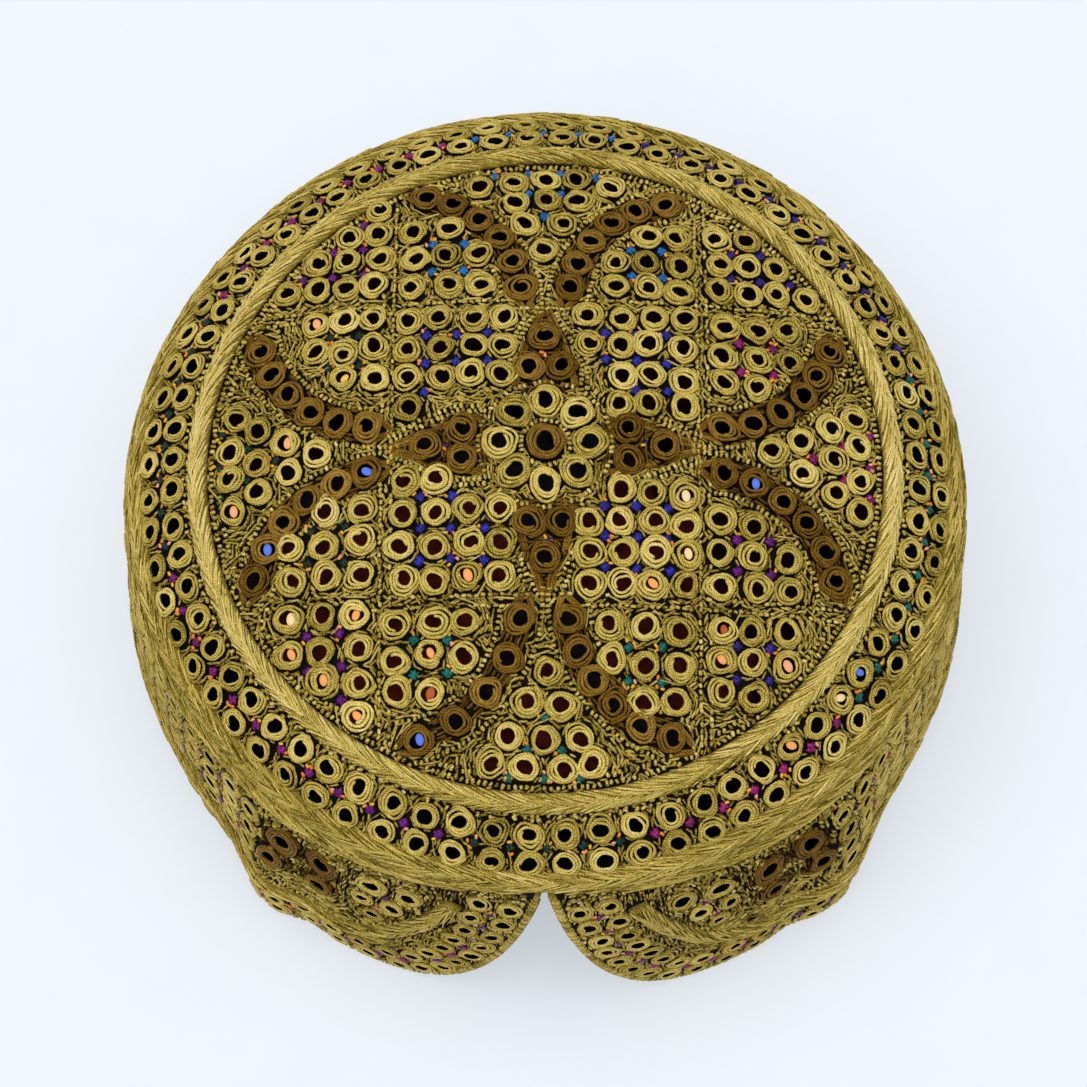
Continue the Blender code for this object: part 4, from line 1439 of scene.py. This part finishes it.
def sew_crown_ground(centres, sizes, brown, gaps, tails, seeds):
    """Fine stitches laid close together wherever cloth is left on the crown."""
    axis = np.arange(-CROWN_R, CROWN_R, GROUND_STEP)
    x, y = np.meshgrid(axis, axis)
    points = np.stack([x.ravel(), y.ravel()], -1)
    points = points + rng.uniform(-0.36, 0.36, points.shape)
    points = points[np.hypot(*points.T) < GROUND_END_R]
    gap, nearest = clearance(points, centres, sizes)
    star_gap, _ = clearance(points, gaps, 1.5)
    keep = (gap > 0.0) & (star_gap > 0.0)
    points = points[keep]
    away = points - centres[nearest[keep]]
    to_brown = np.linalg.norm(points[:, None] - brown[None], axis=-1)
    order = np.argsort(to_brown, axis=1)[:, :2]
    two = np.take_along_axis(to_brown, order, axis=1).sum(axis=1)
    petal = in_petals(points)
    is_brown = petal | (two < BROWN_REACH)
    seed_gap, _ = clearance(points, seeds, 0.5)
    tail_gap, _ = clearance(points, tails, 0.8)
    is_gold = ~is_brown & (seed_gap > 0.15) & (tail_gap > 0.0)
    turn = np.arctan2(away[:, 1], away[:, 0]) + QUARTER
    turn = turn + rng.normal(0.0, 0.20, len(turn))
    span = brown[order[:, 1]] - brown[order[:, 0]]
    turn = np.where(is_brown & ~petal, np.arctan2(span[:, 1], span[:, 0]), turn)
    for name, look, chosen in (("crown_filler_stitches", "gold", is_gold),
                               ("brown_filler_stitches", "brown", is_brown)):
        threads = Threads()
        number = int(chosen.sum())
        loose = rng.uniform(0.0, 1.0, number) < LOOSE_SHARE
        length = rng.uniform(1.6, 2.7, number) * np.where(loose, 2.6, 1.0)
        wide = rng.uniform(0.30, 0.41, number) * np.where(loose, 0.8, 1.0)
        lift = rng.uniform(0.25, 0.62, number) + 0.45 * loose
        tint = np.clip(rng.normal(0.42, 0.24, number) + 0.2 * loose, 0.0, 1.0)
        add_stitches(threads, crown_places(*points[chosen].T), turn[chosen], length, wide, 0.28,
                     lift, sides=3, tint=tint)
        threads.make(name, look)


# Shoulder and wall

def joined(parts):
    return {key: np.concatenate([part[key] for part in parts]) for key in parts[0]}


def embroider_shoulder():
    count = SHOULDER_COLUMNS
    step = 360.0 / count
    threads = Threads()
    rows = []
    holes = []
    centres = []
    for slope in SHOULDER_SLOPES:
        deg = SHOULDER_FIRST + step * np.arange(count) + rng.normal(0.0, 0.16, count)
        slopes = slope + rng.normal(0.0, 0.45, count)
        places = band_places(deg, slopes)
        sizes = SHOULDER_RING_R * rng.uniform(0.97, 1.06, count)
        hole = HOLE_R * rng.uniform(0.9, 1.15, count)
        add_rings(threads, places, sizes, hole, "gold")
        rows.append(places)
        holes.append(hole)
        centres.append(np.stack([deg, slopes], -1))
    threads.make("shoulder_rings", "gold")
    tones = [tone for row in rows for tone in glint_tones(row["at"], 2.6)]
    make_mirrors("shoulder_mirrors", joined(rows), np.concatenate(holes) * 1.3, tones, "black")

    stars = Threads()
    deg = SHOULDER_FIRST + step * (np.arange(count) + 0.5)
    slope = sum(SHOULDER_SLOPES) / 2.0 + rng.normal(0.0, 0.4, count)
    silks = [next(silk for to, silk in SHOULDER_SILKS if d < to) for d in signed(deg)]
    add_stars(stars, band_places(deg, slope), silks, 0.5)
    stars.make("shoulder_silk_stars", "silk")
    sew_shoulder_ground(np.concatenate(centres), np.stack([deg, slope], -1))


def sew_shoulder_ground(rings, star_places):
    """Teeth along both braids and fine stitches between them and the rings."""
    stitches = Threads()
    for slope in KNOT_SLOPES:
        number = int(TAU * band_profile(slope)[0] / 1.75)
        deg = (np.arange(number) + slope) / number * 360.0 + rng.normal(0.0, 0.25, number)
        places = band_places(deg, slope + rng.normal(0.0, 0.5, number))
        add_stitches(stitches, places, rng.uniform(0.0, math.pi, number),
                     **STITCHES["shoulder_knot"])
    number = int(TAU * band_profile(TEETH_SLOPE)[0] / 1.2)
    deg = np.arange(number) / number * 360.0 + rng.normal(0.0, 0.08, number)
    places = band_places(deg, TEETH_SLOPE + rng.normal(0.0, 0.4, number))
    add_stitches(stitches, places, QUARTER + rng.normal(0.0, 0.25, number),
                 **STITCHES["shoulder_tooth"])
    to_plan = [SHOULDER_PLAN_R, BAND_ARC_R]
    rings = np.radians(rings) * to_plan
    step = 0.92
    slopes = np.radians(np.arange(*GROUND_SLOPES, math.degrees(step / BAND_ARC_R)))
    s, v = np.meshgrid(np.arange(0.0, TAU * SHOULDER_PLAN_R, step), slopes * BAND_ARC_R)
    points = np.stack([s.ravel(), v.ravel()], -1) + rng.uniform(-0.36, 0.36, (s.size, 2))
    gap, nearest = clearance(points, rings, SHOULDER_RING_R)
    star_gap, _ = clearance(points, np.radians(star_places) * to_plan, 1.7)
    sparse = points[:, 1] < np.radians(SPARSE_SLOPE) * BAND_ARC_R
    keep = (gap > 0.0) & (star_gap > 0.0)
    keep &= ~sparse | (rng.uniform(0.0, 1.0, len(points)) < SPARSE_SHARE)
    points = points[keep]
    away = points - rings[nearest[keep]]
    turn = np.arctan2(-away[:, 1], away[:, 0]) + QUARTER
    places = band_places(*np.degrees(points / to_plan).T)
    add_stitches(stitches, places, turn + rng.normal(0.0, 0.25, len(points)),
                 **STITCHES["shoulder_ground"])
    stitches.make("shoulder_stitches", "gold")


def hem_rings():
    """The rows of rings that follow the notch and the rim, as (s, z) on both sides."""
    found = []
    for offset in HEM_OFFSETS:
        s, z = hem_line(offset, HEM_STEP)
        ok = (z < 55.0) & (s > 2.6) & (s < math.pi * WALL_ARC_R - 2.0)
        for side in (-1.0, 1.0):
            found.append(np.stack([side * s[ok], z[ok]], -1))
    return np.concatenate(found)


def both_sides(rings):
    return np.array([(side * ring["deg"], ring["z"], ring["size"]) for ring in rings
                     for side in (-1.0, 1.0)])


def sew_wall_rings(names, rows, holes, near_deg, styles, look="gold", sides=9):
    """Rings on the wall, wound more finely near the front, and their mirrors."""
    threads = Threads()
    places = wall_places(rows[:, 0], rows[:, 1])
    near = np.abs(signed(rows[:, 0])) < near_deg
    for style, chosen in zip(styles, (near, ~near)):
        add_rings(threads, pick(places, chosen), rows[chosen, 2], holes[chosen], style)
    threads.make(names[0], look)
    make_mirrors(names[1], places, holes * 1.3, [None] * len(holes), "black", sides)


def embroider_wall():
    columns = np.arange(WALL_COLUMNS) / (WALL_COLUMNS - 1)
    columns = WALL_FIRST + (360.0 - 2.0 * WALL_FIRST) * columns
    deg, z = np.meshgrid(columns, np.array(WALL_ROWS_Z))
    lattice = np.stack([deg.ravel(), z.ravel()], -1)
    lattice = lattice + rng.normal(0.0, 0.22, lattice.shape) * [0.6, 1.0]
    hem = jitter(hem_rings(), 0.2)
    gold = np.concatenate([both_sides(ARCH_GOLD),
                           np.column_stack([lattice, np.full(len(lattice), WALL_RING_R)])])
    hems = np.column_stack([degrees_along(hem[:, 0]), hem[:, 1],
                            np.full(len(hem), HEM_RING_R)])
    brown = both_sides(ARCH_BROWN)
    sew_wall_rings(("wall_gold_rings", "wall_mirrors"), gold,
                   gold[:, 2] * 0.43 * rng.uniform(0.9, 1.12, len(gold)), 75.0,
                   ("wall_front", "wall_back"))
    sew_wall_rings(("hem_rings", "hem_mirrors"), hems,
                   hems[:, 2] * 0.42 * rng.uniform(0.85, 1.12, len(hems)), 60.0,
                   ("hem_front", "hem_back"))
    sew_wall_rings(("wall_brown_rings", "wall_brown_mirrors"), brown, brown[:, 2] * 0.40, 360.0,
                   ("wall_brown",), "brown", 12)

    gaps, silks = wall_gaps(columns, hem)
    stars = Threads()
    places = wall_places(gaps[:, 0], gaps[:, 1])
    places["at"] = places["at"] + places["out"] * 0.15
    add_stars(stars, places, silks, 0.2)
    stars.make("wall_silk_stars", "silk")

    rings = np.concatenate([gold, hems, brown])
    centres = np.stack([np.radians(signed(rings[:, 0])) * WALL_ARC_R, rings[:, 1]], -1)
    brown_at = np.stack([np.radians(brown[:, 0]) * WALL_ARC_R, brown[:, 1]], -1)
    sew_wall_ground(centres, rings[:, 2], brown_at)


def hem_gaps(hem):
    """The widest gaps between the two rows of rings along the hem, on both sides."""
    middle = np.stack(hem_line(sum(HEM_OFFSETS) / 2.0, 0.4), -1)
    middle = middle[(middle[:, 1] < 54.0) & (middle[:, 0] < math.pi * WALL_ARC_R - 3.0)]
    found = []
    for side in (-1.0, 1.0):
        line = middle * [side, 1.0]
        gap, _ = clearance(line, hem, HEM_RING_R)
        for i in np.argsort(-gap):
            near = [p for p in found if np.hypot(*(p - line[i])) < 4.6]
            if gap[i] > 0.55 and not near:
                found.append(line[i])
    return np.array(found)


def wall_gaps(columns, hem):
    """Places of the silk stars on the wall, as plan angles and heights."""
    heights = np.array(WALL_ROWS_Z)
    deg, z = np.meshgrid((columns[1:] + columns[:-1]) / 2.0, (heights[1:] + heights[:-1]) / 2.0)
    silks = list(rng.choice(["purple", "magenta", "green"], deg.size, p=[0.45, 0.35, 0.2]))
    between = hem_gaps(hem)
    silks += list(rng.choice(["purple", "magenta"], len(between), p=[0.4, 0.6]))
    found = [np.stack([deg.ravel(), z.ravel()], -1),
             np.stack([degrees_along(between[:, 0]), between[:, 1]], -1)]
    for side in (-1.0, 1.0):
        found.append([(side * star["deg"], star["z"]) for star in ARCH_STARS])
        silks += [star["silk"] for star in ARCH_STARS]
    return np.concatenate(found), silks


def sew_wall_teeth(stitches, centres, sizes):
    number = int(TAU * 88.5 / 1.2)
    deg = np.arange(number) / number * 360.0 - 180.0
    s = np.radians(np.abs(deg)) * WALL_ARC_R
    for line in WALL_TEETH:
        if line["z"] > ARCH_START_Z:
            z = np.full(number, line["z"])
            ok = np.abs(deg) > 16.0
        else:
            z = np.minimum(ARCH_START_Z, arch_height(s)) + (line["z"] - ARCH_LOW_Z)
            ok = s > ARCH_START_S + 9.0
        gap, _ = clearance(np.stack([np.radians(deg) * WALL_ARC_R, z], -1), centres, sizes)
        ok &= gap > 0.15
        count = int(ok.sum())
        places = wall_places(deg[ok], z[ok] + rng.normal(0.0, 0.15, count))
        turn = QUARTER + rng.normal(0.0, 0.15, count)
        add_stitches(stitches, places, turn, line["length"] * rng.uniform(0.8, 1.2, count),
                     0.36, 0.32, 0.55)


def bare_wall(points):
    """Which points (s, z) lie clear of the wall's braids and its bound edge."""
    away, z = np.abs(points[:, 0]), points[:, 1]
    foot = TOP_BRAID_Z + TOP_BRAID_W / 2.0 - TOP_BRAID_W * top_braid_share(degrees_along(away))
    free = z < foot - 0.2
    free |= away < np.radians(TOP_BRAID_START + 1.0) * WALL_ARC_R
    line_s = np.linspace(ARCH_START_S, ARCH_FLAT_S, 120)
    line = np.stack([line_s, np.minimum(ARCH_START_Z, arch_height(line_s))], -1)
    to_line, _ = clearance(np.stack([away, z], -1), line, 0.0)
    off_braid = np.where(away < ARCH_FLAT_S, to_line, np.abs(z - ARCH_LOW_Z))
    edge_fall = (cord_height(away) - cord_height(away + 0.5)) / 0.5
    off_edge = (z - cord_height(away)) / np.hypot(1.0, edge_fall)
    return free & (off_braid > 2.3) & (off_edge > 1.7) & (away > NOTCH_TOP_S + 1.9)


def sew_wall_ground(centres, sizes, brown_at):
    """Teeth along the wall's braids and fine stitches wherever cloth is left."""
    stitches = Threads()
    sew_wall_teeth(stitches, centres, sizes)
    points = []
    for zone in WALL_GROUND:
        step = zone["step"]
        low, high = np.radians([zone["first"], zone["last"]]) * WALL_ARC_R
        s, z = np.meshgrid(np.arange(low, high, step), np.arange(3.2, 58.6, step))
        cloud = np.stack([s.ravel(), z.ravel()], -1)
        for side in (-1.0, 1.0):
            points.append(cloud * [side, 1.0] + rng.uniform(-0.4, 0.4, cloud.shape) * step)
    points = np.concatenate(points)
    away, z = np.abs(points[:, 0]), points[:, 1]
    gap, nearest = clearance(points, centres, sizes)
    bold = (away > BOLD_S[0]) & (away < BOLD_S[1]) & (z < BOLD_Z)
    bold |= (away > KNOTTY_S) & (z > KNOTTY_Z)
    keep = bare_wall(points) & (gap > 0.0)
    keep &= ~bold | (rng.uniform(0.0, 1.0, len(points)) < BOLD_SHARE)
    points = points[keep]
    d = points - centres[nearest[keep]]
    turn = np.arctan2(d[:, 1], d[:, 0]) + QUARTER + rng.normal(0.0, 0.25, len(points))
    deg = degrees_along(points[:, 0])
    wide = np.where(np.abs(deg) < WALL_FRONT_DEG, 0.27, 0.38) * rng.uniform(0.85, 1.15, len(points))
    wide = wide * np.where(bold[keep], 1.3, 1.0)
    to_brown = np.sort(np.linalg.norm(points[:, None] - brown_at[None], axis=-1), axis=1)
    is_brown = (to_brown[:, 0] < 5.4) & (to_brown[:, 1] < 11.5)
    patch = Threads()
    for threads, chosen, tone in ((stitches, ~is_brown, 0.42), (patch, is_brown, 0.36)):
        number = int(chosen.sum())
        knot = points[chosen, 1] > KNOTTY_Z
        length = wide[chosen] * np.where(knot, 3.8, 7.2)
        lift = rng.uniform(0.25, 0.6, number) + knot * rng.uniform(0.1, 0.6, number)
        tint = tints(number, tone, np.where(knot, 0.46, 0.28))
        add_stitches(threads, wall_places(deg[chosen], points[chosen, 1]), turn[chosen], length,
                     wide[chosen], np.where(knot, 0.50, 0.28), lift, sides=3, tint=tint)
    stitches.make("wall_stitches", "gold")
    patch.make("wall_brown_stitches", "brown")


# Stage

def dress_cad_mirrors():
    material = mirror_material("mirror_rosette", ROSETTE_GLASS, False)
    for name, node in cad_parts.items():
        if "mirror" in name:
            node.data.materials.clear()
            node.data.materials.append(material)


def make_floor():
    corners = np.array([[-1.0, -1.0, 0.0], [1.0, -1.0, 0.0], [1.0, 1.0, 0.0],
                        [-1.0, 1.0, 0.0]]) * FLOOR_HALF
    floor = new_mesh_object("floor", corners, [(0, 1, 2, 3)], [])
    floor.data.materials.append(floor_material())


def make_light():
    world = bpy.data.worlds.new("soft_studio")
    world.use_nodes = True
    background = world.node_tree.nodes["Background"]
    background.inputs["Color"].default_value = SKY_COLOUR
    background.inputs["Strength"].default_value = SKY_STRENGTH
    bpy.context.scene.world = world
    lamp = bpy.data.lights.new("soft_overhead", "SUN")
    lamp.energy = LAMP_ENERGY
    lamp.angle = math.radians(LAMP_SPREAD)
    lamp.color = LAMP_COLOUR
    obj = bpy.data.objects.new("soft_overhead", lamp)
    obj.location = LAMP_AT
    obj.rotation_euler = (LAMP_AIM - LAMP_AT).to_track_quat("-Z", "Y").to_euler()
    bpy.context.scene.collection.objects.link(obj)


def make_camera():
    elevation = math.radians(VIEW_ELEVATION)
    forward = Vector((0.0, math.cos(elevation), -math.sin(elevation)))
    up = Vector((0.0, math.sin(elevation), math.cos(elevation)))
    camera = bpy.data.cameras.new("photo_camera")
    camera.sensor_width = SENSOR_MM
    camera.lens = FOCAL_PIXELS / FRAME_PIXELS * SENSOR_MM
    camera.clip_start = 0.01
    obj = bpy.data.objects.new("photo_camera", camera)
    obj.location = (Vector((CAMERA_SHIFT_RIGHT, 0.0, CAMERA_AIM_Z))
                    - forward * CAMERA_DISTANCE + up * CAMERA_SHIFT_UP)
    obj.rotation_euler = (math.pi / 2.0 - elevation, 0.0, 0.0)
    bpy.context.scene.collection.objects.link(obj)
    bpy.context.scene.camera = obj


def main():
    bpy.context.scene.view_settings.view_transform = "Standard"
    looks["gold"] = thread_material("antique_gold_floss", GOLD_STOPS, GOLD_SHEEN)
    looks["brown"] = thread_material("bronze_brown_floss", BROWN_STOPS, BROWN_SHEEN)
    looks["silk"] = silk_material()
    looks["cloth"] = cloth_material()
    looks["maroon"] = mirror_material("mirror_maroon", MAROON_GLASS)
    looks["black"] = mirror_material("mirror_black", BLACK_GLASS)
    make_turned_cloths()
    make_wall_cloth()
    make_braids()
    embroider_crown()
    embroider_shoulder()
    embroider_wall()
    dress_cad_mirrors()
    make_floor()
    make_light()
    make_camera()


main()
